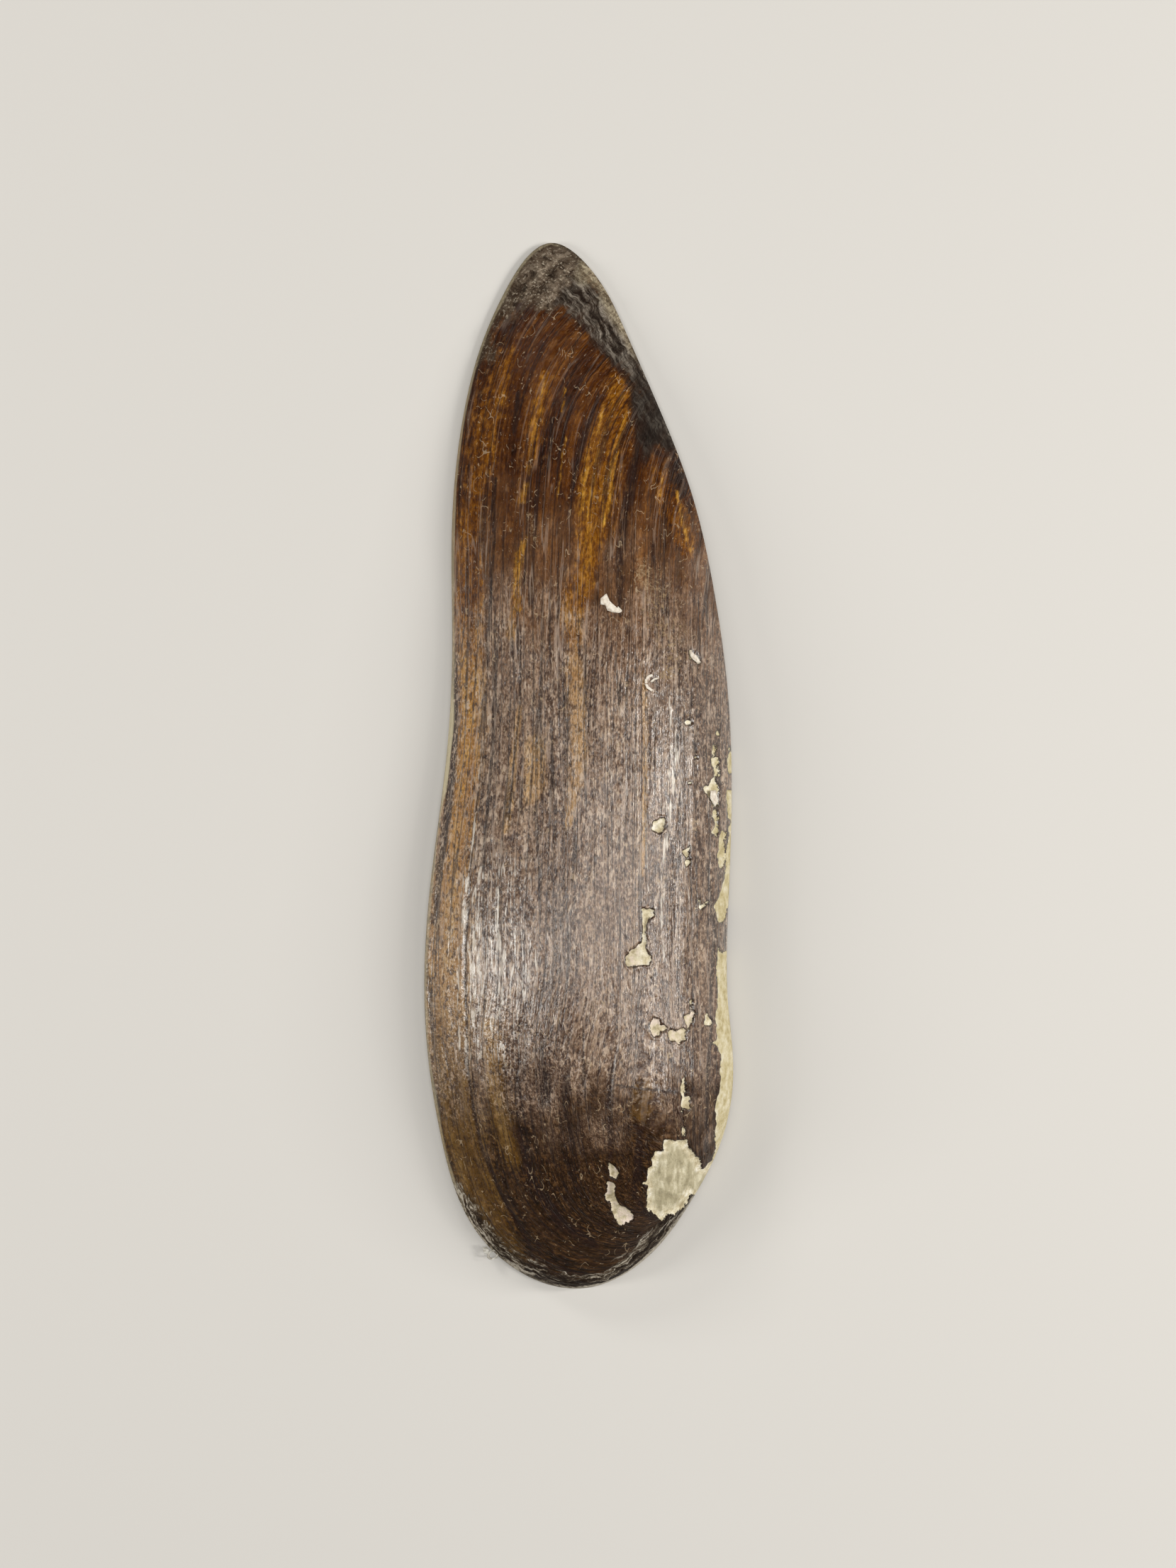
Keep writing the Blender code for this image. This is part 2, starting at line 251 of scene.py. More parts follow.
# Dark streaks and lines on the skin, and a painted shadow below the frills
DARK_AND_SHADOW = (
    ((8.3, 42.0, 0.5), (7.2, 38.5, 0.6), (6.5, 35.9, 0.7), (6.0, 32.5, 0.8), (5.4, 29.1, 0.8),
     (5.0, 25.3, 0.75), (4.9, 20.9, 0.6), (5.0, 18.0, 0.4)),
    ((2.3, 44.7, 0.27), (1.0, 39.9, 0.34), (0.0, 36.5, 0.41), (-0.7, 33.1, 0.27)),
    ((-3.1, 41.6, 0.34), (-3.4, 38.6, 0.41), (-3.8, 35.5, 0.27)),
    ((-9.9, 34.5, 0.2), (-10.2, 31.1, 0.31), (-10.2, 27.0, 0.24), (-10.4, 23.0, 0.2),
     (-10.9, 15.2, 0.28), (-11.0, 11.5, 0.2)),
    ((0.5, 52.5, 0.2), (-0.7, 49.8, 0.27), (-1.4, 47.7, 0.2)),
    ((-7.2, 44.7, 0.41), (-7.4, 42.6, 0.41), (-7.8, 39.9, 0.27)),
    ((-6.9, 15.6, 0.16), (-7.1, 7.1, 0.2), (-7.8, -0.6, 0.2), (-8.4, -7.9, 0.16)),
    ((-3.9, -36.6, 0.5), (-3.9, -38.6, 0.9), (-4.2, -40.6, 0.65)),
    ((0.6, -31.3, 0.14), (0.6, -35.8, 0.18), (0.6, -38.2, 0.35)),
    ((4.0, -35.8, 0.24), (3.6, -41.0, 0.48), (3.8, -46.7, 0.4)),
    ((-7.1, -43.8, 0.65), (-5.5, -49.9, 0.8), (-2.2, -54.8, 0.95), (1.8, -57.2, 0.8)),
    ((7.4, -43.8, 0.48), (7.0, -47.5, 0.65), (6.6, -51.5, 0.57), (8.7, -54.3, 0.48), (11.5, -53.5, 0.3)),
    ((-14.8, 12.7, 0.32), (-15.0, 2.6, 0.58), (-15.5, -3.8, 0.66), (-16.2, -9.5, 0.66), (-16.9, -14.7, 0.5),
     (-17.4, -19.0, 0.3)),
    ((-11.5, 3.0, 0.16), (-11.7, -1.0, 0.2), (-12.7, -11.0, 0.2), (-13.1, -16.0, 0.25),
     (-13.5, -22.0, 0.26), (-13.5, -28.0, 0.22), (-13.2, -36.0, 0.22), (-12.5, -41.0, 0.26),
     (-11.7, -45.5, 0.3), (-9.9, -50.0, 0.35), (-7.9, -54.0, 0.4), (-5.5, -58.0, 0.3)),
    ((-3.3, 55.4, 0.15), (-2.2, 56.4, 0.18), (-1.6, 57.6, 0.2), (-0.7, 58.2, 0.24), (1.0, 57.8, 0.2),
     (2.3, 56.1, 0.2), (3.7, 53.8, 0.18)),
    # Painted shadow below the frills, along their lower edge
    ((-0.4, 53.8, 0.5), (1.7, 51.8, 0.6), (3.7, 49.4, 0.7), (5.0, 47.4, 0.7), (6.7, 45.0, 0.7),
     (7.0, 42.0, 0.8), (7.4, 39.0, 0.8), (9.6, 37.4, 0.6)),
    ((15.4, -12.0, 0.25), (16.2, -20.0, 0.3), (16.0, -30.0, 0.3), (15.3, -40.0, 0.35), (15.2, -46.0, 0.4)),
)
# Tan fibres and dust stuck to the skin
DUST = (
    ((7.8, 23.6, 1.6), (9.1, 20.9, 2.4), (9.4, 18.4, 2.6), (10.9, 16.0, 2.4), (11.8, 13.3, 1.8),
     (10.4, 11.1, 1.2)),
    ((12.6, 8.0, 0.12), (12.9, 5.6, 0.15), (13.6, 2.9, 0.12)),
    ((12.1, 7.0, 0.1), (12.4, 5.4, 0.1)),
    ((-6.0, 30.0, 0.7), (-5.0, 27.0, 0.6)), ((2.2, 33.0, 0.5), (2.0, 30.0, 0.6)),
)
# Painted highlights on skin rubbed pale, where the light catches the right shoulder and the lower left flank
WORN_AND_HIGHLIGHTS = (
    ((10.9, 8.5, 0.25), (11.4, 3.0, 0.9), (11.3, -2.5, 1.0), (10.7, -7.0, 0.7), (10.2, -12.0, 0.6),
     (10.0, -18.0, 0.5), (10.4, -24.0, 0.35)),
    ((8.2, -2.0, 0.16), (8.1, -9.0, 0.2), (8.3, -15.0, 0.16)),
    ((13.0, -9.0, 0.14), (13.0, -18.0, 0.16), (12.8, -27.0, 0.12)),
    ((-11.6, -12.0, 0.3), (-12.6, -18.0, 0.8), (-12.6, -24.0, 1.1), (-12.4, -31.0, 0.8)),
    ((-9.6, -14.0, 0.3), (-9.5, -22.0, 1.0), (-9.4, -30.0, 0.7)),
    ((-5.1, -21.8, 0.3), (-5.0, -24.6, 0.34)),
    ((-6.4, -23.0, 0.12), (-6.4, -26.0, 0.14)),
    ((-11.6, 2.0, 0.2), (-12.2, -6.0, 0.32), (-13.3, -14.5, 0.5), (-14.2, -22.0, 0.5), (-14.4, -28.0, 0.36),
     (-14.2, -34.0, 0.2)),
)

# Areas of the rear end, seen from above
TIP = (
    (-11.6, 49.1), (-10.2, 52.1), (-8.2, 55.0), (-5.5, 55.5), (-3.1, 55.4), (-2.2, 55.6), (-0.7, 58.1),
    (0.3, 60.6), (2.0, 62.0), (-3.1, 65.3), (-8.5, 63.7), (-12.9, 56.9), (-14.6, 49.4))
FRILLS = (
    (-2.2, 55.4), (-0.7, 58.1), (1.3, 57.7), (3.0, 56.2), (4.4, 53.8), (5.7, 51.1), (6.9, 49.6),
    (8.6, 47.0), (9.8, 44.7), (11.4, 40.6), (12.2, 37.9), (10.5, 37.6), (9.1, 38.2), (8.3, 37.6),
    (7.5, 36.5), (7.3, 39.2), (6.7, 42.6), (6.7, 45.4), (5.0, 47.4), (3.7, 49.4), (1.7, 51.8),
    (-0.4, 53.8))
TAN_RIM = (
    (-0.7, 58.3), (0.0, 60.6), (2.5, 62.0), (5.7, 57.9), (7.6, 52.2), (7.5, 48.6), (5.9, 50.3),
    (4.7, 52.5), (3.0, 55.5), (1.3, 57.4))

# How each area and each kind of path is laid on the skin: an area's soft border, from 0 to 1
# at two distances into it, and its wavering; a path's softness and its sideways wandering
AREAS = {
    "tip": (TIP, (-3.0, 1.6), 1.2), "frill": (FRILLS, (-2.2, 1.3), 1.0),
    "tan": (TAN_RIM, (-0.5, 0.7), 0.6),
}
PATHS = {
    "amber": (AMBER, 1.0, 1.0), "gold": (GOLD, 0.9, 1.0), "worn": (WORN_AND_HIGHLIGHTS, 0.6, 1.0),
    "dust": (DUST, 0.5, 1.0), "dark": (DARK_AND_SHADOW, 0.6, 0.4),
}
HEM_DEPTH = (3.5, 1.0)
HEM_Y = (-46.0, -56.0)

# Grain that is modelled: its height or reach, its coarsest size, its seed and its octaves
GRAIN = {
    "ragged edge": (0.16, 0.7, 3.1, 3), "waver": (1.0, 2.2, 7.7, 3), "drift": (0.35, 1.6, 9.2, 2),
    "line wander": (0.22, 2.5, 1.3, 2), "ribs": (0.075, 1.2, 11.0, 3), "swell": (0.20, 8.0, 21.0, 2),
    "wrinkles": (0.03, 0.8, 15.0, 2), "ledge strength": (0.5, 6.0, 5.0, 1), "crust": (0.24, 1.5, 31.0, 4),
    "frill steps": (0.8, 2.6, 41.0, 2), "frill grain": (0.10, 0.8, 43.0, 2),
    "hem steps": (1.1, 2.4, 47.0, 3), "chalk": (0.06, 1.5, 51.0, 3),
    "inner grain": (0.5, 1.2, 61.0, 2), "inner swell": (0.05, 6.0, 71.0, 2),
}
LEDGE_STRENGTH = 0.65
LEDGE_LENGTH = 1.2
LEDGE_RISE = (-0.22, 0.0)
CALM_FRONT_Y = (-44.0, -56.0)
CALM_FRONT_SHARE = 0.6
DARK_DEPTH = 0.08
FRILL_SPACING = 0.75
FRILL_HEIGHT = 0.15
HEM_SPACING = 0.65
HEM_HEIGHT = 0.14
CHALK_DEPTH = 0.26
CHALK_SLOPE = (-0.05, 0.16)
BORDER_HEIGHT = 0.07
BORDER_PLACE = -0.16
BORDER_WIDTH = 0.14
FLAT_EDGE = 1.2

# Pits of the rear tip: centre, radius and depth
PITS = (
    ((-3.2, 59.0), 0.45, 0.32), ((-5.5, 58.9), 0.38, 0.28), ((-1.6, 60.3), 0.25, 0.16),
    ((-6.6, 57.3), 0.30, 0.2), ((0.8, 57.6), 0.30, 0.15), ((-4.2, 60.9), 0.25, 0.14),
    ((-7.6, 55.4), 0.28, 0.15), ((-3.9, 57.2), 0.28, 0.16), ((-8.8, 53.2), 0.3, 0.12),
)
# Growth ledges: where each crosses the middle, and its height
LEDGES = (
    (-14.2, 0.10), (-13.1, 0.07), (-11.9, 0.26), (-9.4, 0.07), (-8.0, 0.14), (-5.2, 0.06),
    (-3.0, 0.13), (-0.6, 0.05), (1.6, 0.08), (3.3, 0.05), (5.0, 0.18), (7.6, 0.06), (8.6, 0.08),
    (10.4, 0.08), (12.2, 0.07), (13.6, 0.08),
)

# Inside: hinge teeth and muscle scars, each with its centre, reach and depth
LATERAL_TOOTH = ((13.0, -20.0), (12.9, 0.0), (12.2, 20.0))
TOOTH_WIDTH = 0.75
TOOTH_HEIGHT = 0.45
TOOTH_START = (-23.0, -17.0)
TOOTH_END = (14.0, 22.0)
CARDINAL_TEETH = (((12.0, -43.5), (1.5, 2.4)), ((10.2, -48.5), (1.6, 1.1)))
SCARS = (((2.5, -50.0), (5.2, 3.8), 0.30), ((4.5, 37.0), (3.8, 5.5), 0.14), ((7.5, -45.0), (1.5, 1.2), 0.2))

# Loose bits on the skin: corners seen from above, the side that stands up, and its lift.
# A ruffle or wave is given by its height and by how close it is.
FLAKES = {
    "white_flake": (
        ((2.6, 20.0), (3.3, 20.6), (3.7, 19.7), (4.6, 18.9), (4.7, 19.1), (5.3, 18.5), (4.8, 18.3),
         (4.0, 18.4), (3.4, 18.6), (3.2, 19.2), (2.6, 19.3)),
        (-0.6, 0.8), 0.55),
    "curled_rim_upper": (
        ((8.7, 11.0), (8.2, 10.8), (7.9, 10.3), (7.9, 9.9), (8.2, 9.9), (8.2, 10.3), (8.5, 10.6),
         (8.9, 10.8)),
        (-1.0, 0.3), 0.35),
    "curled_rim_lower": (
        ((7.9, 9.8), (8.1, 9.3), (8.7, 8.9), (8.9, 9.1), (8.4, 9.5), (8.2, 9.8)),
        (-1.0, -0.4), 0.30),
    "curled_rim_inner": (
        ((8.5, 10.1), (9.0, 10.5), (9.5, 10.6), (9.6, 10.4), (9.1, 10.3), (8.8, 10.0)),
        (0.6, 0.8), 0.35),
    "chalk_chip": (
        ((13.3, 13.9), (13.9, 13.3), (14.1, 13.2), (14.6, 12.4), (14.2, 12.3), (13.6, 12.8), (13.3, 13.2)),
        (0.3, 1.0), 0.30),
    "chain_chip": (
        ((15.7, -3.0), (16.4, -2.9), (16.7, -4.2), (16.3, -4.9), (15.7, -3.9)), (-1.0, 0.2), 0.25),
    "film_scrap": (
        ((-11.5, -57.6), (-11.0, -57.5), (-10.7, -58.0), (-10.9, -58.5), (-11.3, -58.3)), (-1.0, 0.4), 0.3),
}
FLAKE_THICKNESS = 0.12
FLAKE_CLEARANCE = 0.06
FLAKE_RUFFLE = (0.10, 2.2)
BIT_GRAIN = 0.00015
CURL_PLACE = (-10.25, -58.45)
CURL_RADIUS = 0.62
CURL_THICKNESS = 0.15
CURL_LIFT = 0.28
CURL_SHAPE = (1.0, 0.72, 1.5)
CURL_TURN = 0.45
CURL_TILT = 0.3
CURL_WAVE = (0.12, 1.9)
CURL_SIDES = 10
CURL_STEPS = 32

# Zones of the skin along (y) and across (x) the valve, in millimetres. A zone of two numbers
# sets in from the first to the second. One of four rises between the first two and fades
# between the last two.
REAR_ZONE = (7.0, 29.0)
MIDDLE_ZONE = (-46.0, -32.0, 8.0, 27.0)
FRONT_ZONE = (-32.0, -47.0)
WARM_PASSAGE = (6.0, 18.0, 24.0, 36.0)
LIT_FLANK_X = (-14.2, -13.0, -7.5, -4.0)
LIT_FLANK_Y = (-38.0, -30.0, -15.0, -8.0)
BRIGHT_RIM_Y = (-7.0, -2.0, 6.0, 11.0)
ROSY_PATCHES_Y = (-35.5, -34.0, -28.5, -27.0)

# The crack across the skin near the beak: its place at x = 0, how it falls to the right, its ends
CROSS_CRACK_Y = -36.2
CROSS_CRACK_SLOPE = 0.13
CROSS_CRACK_X = (3.6, 4.6, 11.4, 12.2)

# The valve's baking map: left and right end of each face's part, and half the valve's room
MAP_PARTS = ((0.02, 0.56), (0.62, 0.98))
MAP_HALF_WIDTH = 19.6
MAP_HALF_LENGTH = 64.0

# Studio, in metres: place, size and power of each light
LIGHTS = {
    "overhead": ((0.0, 0.0, 0.75), (0.90, 0.20), 2.8),
    "rear_side": ((-0.45, 0.55, 0.40), (0.20, 0.16), 1.5),
    "belly_side": ((-0.62, -0.07, 0.32), (0.10, 0.28), 1.8),
    "hinge_side": ((0.60, 0.08, 0.35), (0.07, 0.26), 2.2),
    "hinge_front": ((0.52, -0.09, 0.42), (0.06, 0.22), 1.6),
}
LIGHT_TARGET = (0.0, -0.01, 0.0)
LIGHT_COLOUR = (1.0, 0.97, 0.92)
ROOM_COLOUR = (1.0, 0.97, 0.93, 1.0)
ROOM_STRENGTH = 0.06
FLOOR_REACH = 1.6
FLOOR_DROP = 0.0001
FLOOR_PAPER = (0.62, 0.61, 0.59)


def smooth_step(low, high, value):
    """0 below low, 1 above high, with a soft passage between them."""
    share = np.clip((value - low) / (high - low), 0.0, 1.0)
    return share * share * (3.0 - 2.0 * share)


def closed_spline(knots, samples):
    """Points along the smooth closed curve through the knots, evenly spaced along it."""
    count = len(knots)
    following = np.roll(knots, -1, axis=0)
    chords = np.linalg.norm(following - knots, axis=1)
    system = np.zeros((count, count))
    target = np.zeros((count, 2))
    for i in range(count):
        before, after = chords[i - 1], chords[i]
        system[i, i - 1] = after
        system[i, i] = 2.0 * (before + after)
        system[i, (i + 1) % count] = before
        leaving = before / after * (following[i] - knots[i])
        arriving = after / before * (knots[i] - knots[i - 1])
        target[i] = 3.0 * (leaving + arriving)
    slopes = np.linalg.solve(system, target)

    t = np.linspace(0.0, 1.0, SPAN_SAMPLES, endpoint=False)[:, None]
    curve = []
    for i in range(count):
        start = (2 * t**3 - 3 * t**2 + 1) * knots[i] + (t**3 - 2 * t**2 + t) * chords[i] * slopes[i]
        j = (i + 1) % count
        end = (3 * t**2 - 2 * t**3) * knots[j] + (t**3 - t**2) * chords[i] * slopes[j]
        curve.append(start + end)
    curve = np.vstack(curve + [knots[:1]])
    travelled = np.concatenate(([0.0], np.cumsum(np.linalg.norm(np.diff(curve, axis=0), axis=1))))
    stations = np.linspace(0.0, travelled[-1], samples, endpoint=False)
    return np.column_stack([np.interp(stations, travelled, curve[:, axis]) for axis in (0, 1)])


def outward_directions(outline):
    """Unit vectors pointing out of a closed outline that runs anticlockwise."""
    along = np.roll(outline, -1, axis=0) - np.roll(outline, 1, axis=0)
    outward = np.column_stack((along[:, 1], -along[:, 0]))
    return outward / np.linalg.norm(outward, axis=1)[:, None]


def broad_form(x, y, form):
    """A soft rise or hollow round a centre, as a share of the vault's height."""
    centre, reach, amount = form
    return amount * np.exp(-((x - centre[0]) / reach[0]) ** 2 - ((y - centre[1]) / reach[1]) ** 2)


class Vault:
    """The smooth vault over an outline, with its crest running lengthwise."""

    def __init__(self, outline, height):
        self.height = height
        self.rear = outline[:, 1].max()
        self.front = outline[:, 1].min()
        tip, toe = outline[:, 1].argmax(), outline[:, 1].argmin()
        turned = np.roll(outline, -tip, axis=0)
        toe = (toe - tip) % len(outline)
        self.belly = turned[toe::-1]
        self.hinge = np.vstack((turned[toe:], turned[:1]))

    def sides(self, y):
        """The outline's belly and hinge edges at a station along the length."""
        belly = np.interp(y, self.belly[:, 1], self.belly[:, 0])
        hinge = np.interp(y, self.hinge[:, 1], self.hinge[:, 0])
        return belly, hinge

    def middle(self, y):
        """The line half way between the two edges."""
        belly, hinge = self.sides(y)
        return 0.5 * (belly + hinge)

    def rise(self, x, y):
        """Height of the vault above its outline."""
        to_front = np.clip((CREST_Y - y) / (CREST_Y - self.front), 0.0, 1.0)
        to_rear = np.clip((y - CREST_Y) / (self.rear - CREST_Y), 0.0, 1.0)
        crest = (1.0 - to_front**FRONT_FULLNESS) ** (1.0 / FRONT_ROUNDNESS)
        crest = crest * (1.0 - to_rear**REAR_FULLNESS)

        belly, hinge = self.sides(y)
        crest_x = belly + CREST_SHARE * (hinge - belly)
        to_belly = np.clip((crest_x - x) / np.maximum(crest_x - belly, 0.01), 0.0, 1.0)
        to_hinge = np.clip((x - crest_x) / np.maximum(hinge - crest_x, 0.01), 0.0, 1.0)
        roundness = 1.0 + (HINGE_ROUNDNESS - 1.0) * (1.0 - smooth_step(*HINGE_ROUNDNESS_FADE, y))
        slope = (1.0 - to_belly**BELLY_FULLNESS)
        slope = slope * (1.0 - to_hinge**HINGE_FULLNESS) ** (1.0 / roundness)
        forms = 1.0 + broad_form(x, y, BEAK_SWELL) + broad_form(x, y, BELLY_FURROW)
        return self.height * crest * slope * forms

    def normals(self, x, y):
        """Unit vectors standing on the vault."""
        step = 0.05
        run_x = (self.rise(x + step, y) - self.rise(x - step, y)) / (2.0 * step)
        run_y = (self.rise(x, y + step) - self.rise(x, y - step)) / (2.0 * step)
        stack = np.stack((-run_x, -run_y, np.ones_like(x)), axis=-1)
        return stack / np.linalg.norm(stack, axis=-1)[..., None]


def ring_places(outline, vault, share):
    """Where a ring runs, seen from above: on the edge at share 1, at the middle at share 0."""
    centre_y = 0.5 * (vault.front + vault.rear)
    centre = np.array((vault.middle(centre_y), centre_y))
    middle_y = centre_y + MIDDLE_LINE_SHARE * (outline[:, 1] - centre_y)
    middle = np.column_stack((vault.middle(middle_y), middle_y))
    pull = 1.0 - (1.0 - share) ** MIDDLE_PULL
    inner_end = centre + pull * (middle - centre)
    return inner_end + share * (outline - inner_end)


def hinge_share(points):
    """1 along the hinge plate, 0 along the thin edges."""
    rising = smooth_step(*HINGE_LAND_START, points[:, 1])
    falling = 1.0 - smooth_step(*HINGE_LAND_END, points[:, 1])
    return rising * falling * (points[:, 0] > 0.0)


def line_place(line, y):
    """Where a growth line of the rear half runs at a station along the length."""
    newer = line - EDGE_LINE
    bend = np.maximum(LINE_BEND[0] + LINE_BEND[1] * newer, LINE_BEND[2])
    length = np.maximum(LINE_BEND_LENGTH[0] + LINE_BEND_LENGTH[1] * newer, LINE_BEND_LENGTH[2])
    end = LINE_END[0] + LINE_END[1] * newer
    lean = bend * np.exp(np.minimum(y - end, LINE_OVERSHOOT) / length)
    outer = np.clip((SPREAD_LINES[0] - line) / SPREAD_LINES[1], 0.0, SPREAD_LIMIT)
    return line + lean - LINE_SPREAD * outer * (1.0 - smooth_step(*LINE_SPREAD_FADE, y))


def rear_line(x, y):
    """Which growth line of the rear half passes through each point."""
    low, high = (np.full_like(x, line) for line in LINE_RANGE)
    for _ in range(LINE_HALVINGS):
        guess = 0.5 * (low + high)
        short = line_place(guess, y) < x
        low = np.where(short, guess, low)
        high = np.where(short, high, guess)
    return 0.5 * (low + high)


def growth_field(x, y, margin):
    """Growth line and place along it for every point, both in millimetres."""
    rear = rear_line(x, y)
    rays = margin - BEAK
    ray_angles = np.arctan2(rays[:, 1], rays[:, 0]) % math.tau
    order = ray_angles.argsort()
    ray_angles = ray_angles[order]
    reaches = np.linalg.norm(rays, axis=1)[order]

    def newness(px, py):
        angle = np.arctan2(py - BEAK[1], px - BEAK[0]) % math.tau
        reach = np.interp(angle, ray_angles, reaches, period=math.tau)
        return np.hypot(px - BEAK[0], py - BEAK[1]) / reach, angle

    row_x = np.linspace(*FRONT_ROW_X, FRONT_ROW_COUNT)
    row_y = np.full_like(row_x, FRONT_ROW_Y)
    row_new, _ = newness(row_x, row_y)
    row_lines = rear_line(row_x, row_y)
    new, angle = newness(x, y)
    front = np.interp(new, np.append(0.0, row_new[::-1]), np.append(BEAK_LINE, row_lines[::-1]))
    starting, ending = np.radians(WRAP_ANGLES)
    wrapped = smooth_step(*starting, angle) * (1.0 - smooth_step(*ending, angle))
    front = rear + wrapped * (front - rear)
    at_front = 1.0 - smooth_step(*FRONT_BLEND, y)
    line = rear + at_front * (front - rear)
    turn = np.where(angle < math.radians(WRAP_LIMIT), np.maximum(angle - WRAP_START, 0.0), 0.0)
    return line, y - WRAP_LENGTH * turn * at_front


def speckle(points, grain):
    """Smooth noise round 0 at points in millimetres, of a kind that the table of grain names."""
    height, size, seed, octaves = GRAIN[grain]
    flat = points.reshape(-1, 3) / size + seed
    total = np.zeros(len(flat))
    gain = 1.0
    for octave in range(octaves):
        scale = 2.0**octave
        total += gain * np.array([noise.noise((a, b, c)) for a, b, c in flat * scale])
        gain *= 0.5
    return height * total.reshape(points.shape[:-1])


def drawn_out(across, along, shortness):
    """Places for a pattern that is drawn out along the valve."""
    return np.stack((across, along * shortness, np.zeros_like(across)), axis=-1)


def off_segment(x, y, start, end):
    """Distance of each point from a segment, and how far along it the nearest place is."""
    run_x, run_y = end[0] - start[0], end[1] - start[1]
    share = ((x - start[0]) * run_x + (y - start[1]) * run_y) / (run_x**2 + run_y**2)
    share = np.clip(share, 0.0, 1.0)
    return np.hypot(x - start[0] - share * run_x, y - start[1] - share * run_y), share


def polygon_depth(x, y, corners):
    """Distance into a polygon: above 0 inside it and below 0 outside it."""
    nearest = np.full_like(x, 1e9)
    inside = np.zeros(x.shape, dtype=bool)
    points = np.array(corners)
    for start, end in zip(points, np.roll(points, -1, axis=0)):
        nearest = np.minimum(nearest, off_segment(x, y, start, end)[0])
        (ax, ay), (bx, by) = start, end
        if ay != by:
            crossing = (ay > y) != (by > y)
            inside ^= crossing & (x < (bx - ax) * (y - ay) / (by - ay) + ax)
    return np.where(inside, nearest, -nearest)


def path_share(x, y, paths, softness):
    """1 along the paths, falling to 0 a little beyond their half width."""
    total = np.zeros_like(x)
    for path in paths:
        for start, end in zip(path, path[1:]):
            away, share = off_segment(x, y, start, end)
            half = start[2] + share * (end[2] - start[2])
            total = np.maximum(total, 1.0 - smooth_step(0.0, 1.0 + softness, away / half))
    return total


def nearest_edge(points, margin):
    """Distance of every point from the valve's edge."""
    tree = kdtree.KDTree(len(margin))
    for i, (mx, my) in enumerate(margin):
        tree.insert((mx, my, 0.0), i)
    tree.balance()
    away = [tree.find((px, py, 0.0))[2] for px, py, _ in points.reshape(-1, 3)]
    return np.array(away).reshape(points.shape[:-1])


def outer_fields(points, margin):
    """Everything about the outer face that depends on the place: lines, marks and wear."""
    spread = 1.0 - points[..., 2] / CAMERA_HEIGHT
    x = CAMERA_PLACE[0] + (points[..., 0] - CAMERA_PLACE[0]) / spread
    y = CAMERA_PLACE[1] + (points[..., 1] - CAMERA_PLACE[1]) / spread
    seen = np.stack((x, y, np.zeros_like(x)), axis=-1)
    line, along = growth_field(x, y, margin)
    edge = nearest_edge(points, margin)

    bare = np.full_like(x, -1e9)
    for corners in CHALK.values():
        bare = np.maximum(bare, polygon_depth(x, y, corners))
    bare = np.clip(bare + speckle(seen, "ragged edge"), -3.0, 3.0)

    waver = speckle(seen, "waver")
    areas = {name: smooth_step(*border, polygon_depth(x, y, corners) + share * waver)
             for name, (corners, border, share) in AREAS.items()}
    hem = smooth_step(*HEM_DEPTH, edge + 0.7 * waver) * smooth_step(*HEM_Y, y)
    pit = np.zeros_like(x)
    for (px, py), radius, _ in PITS:
        pit = np.maximum(pit, np.exp(-((x - px) ** 2 + (y - py) ** 2) / (1.1 * radius) ** 2))

    drift = speckle(drawn_out(x, y, 0.2), "drift")
    line = line + speckle(drawn_out(line, along, 0.16), "line wander")
    marks = {name: path_share(x + share * drift, y, paths, softness)
             for name, (paths, softness, share) in PATHS.items()}
    return areas | marks | {
        "x": x, "y": y, "line": line, "along": along, "edge": edge,
        "bare": bare, "hem": hem, "pit": pit, "seen": seen,
    }


def outer_relief(at):
    """Height of the fine relief above the smooth vault, in millimetres."""
    line, along, seen = at["line"], at["along"], at["seen"]
    ribs = speckle(drawn_out(line, along, 0.06), "ribs")
    swell = speckle(seen * (1.0, 0.45, 1.0), "swell")
    wrinkles = speckle(drawn_out(line, along, 0.5), "wrinkles")
    strength = LEDGE_STRENGTH + speckle(drawn_out(line, along, 0.3), "ledge strength")
    ledges = np.zeros_like(line)
    for place, drop in LEDGES:
        older = line - place
        fading = np.exp(-np.maximum(older, 0.0) / LEDGE_LENGTH)
        ledges = ledges + drop * fading * smooth_step(*LEDGE_RISE, older)
    strength = strength * (1.0 - CALM_FRONT_SHARE * smooth_step(*CALM_FRONT_Y, at["y"]))
    relief = ribs + swell + wrinkles + ledges * strength - DARK_DEPTH * at["dark"]

    crust = speckle(seen, "crust")
    for (px, py), radius, depth in PITS:
        crust = crust - depth * np.exp(-((at["x"] - px) ** 2 + (at["y"] - py) ** 2) / radius**2)
    frilled = at["edge"] / FRILL_SPACING + speckle(seen, "frill steps")
    leaves = FRILL_HEIGHT * (frilled % 1.0) ** 2 + speckle(seen, "frill grain")
    hem = HEM_HEIGHT * ((at["edge"] / HEM_SPACING + speckle(seen, "hem steps")) % 1.0)
    relief = relief + at["tip"] * (crust - 0.6 * relief) + at["frill"] * (leaves - 0.5 * relief)
    relief = relief + at["hem"] * hem

    flaked = smooth_step(*CHALK_SLOPE, at["bare"])
    chalk_level = speckle(seen, "chalk") - CHALK_DEPTH
    border = BORDER_HEIGHT * np.exp(-((at["bare"] - BORDER_PLACE) / BORDER_WIDTH) ** 2)
    relief = relief + flaked * (chalk_level - 0.7 * relief) + border
    return relief * smooth_step(0.0, FLAT_EDGE, at["edge"])


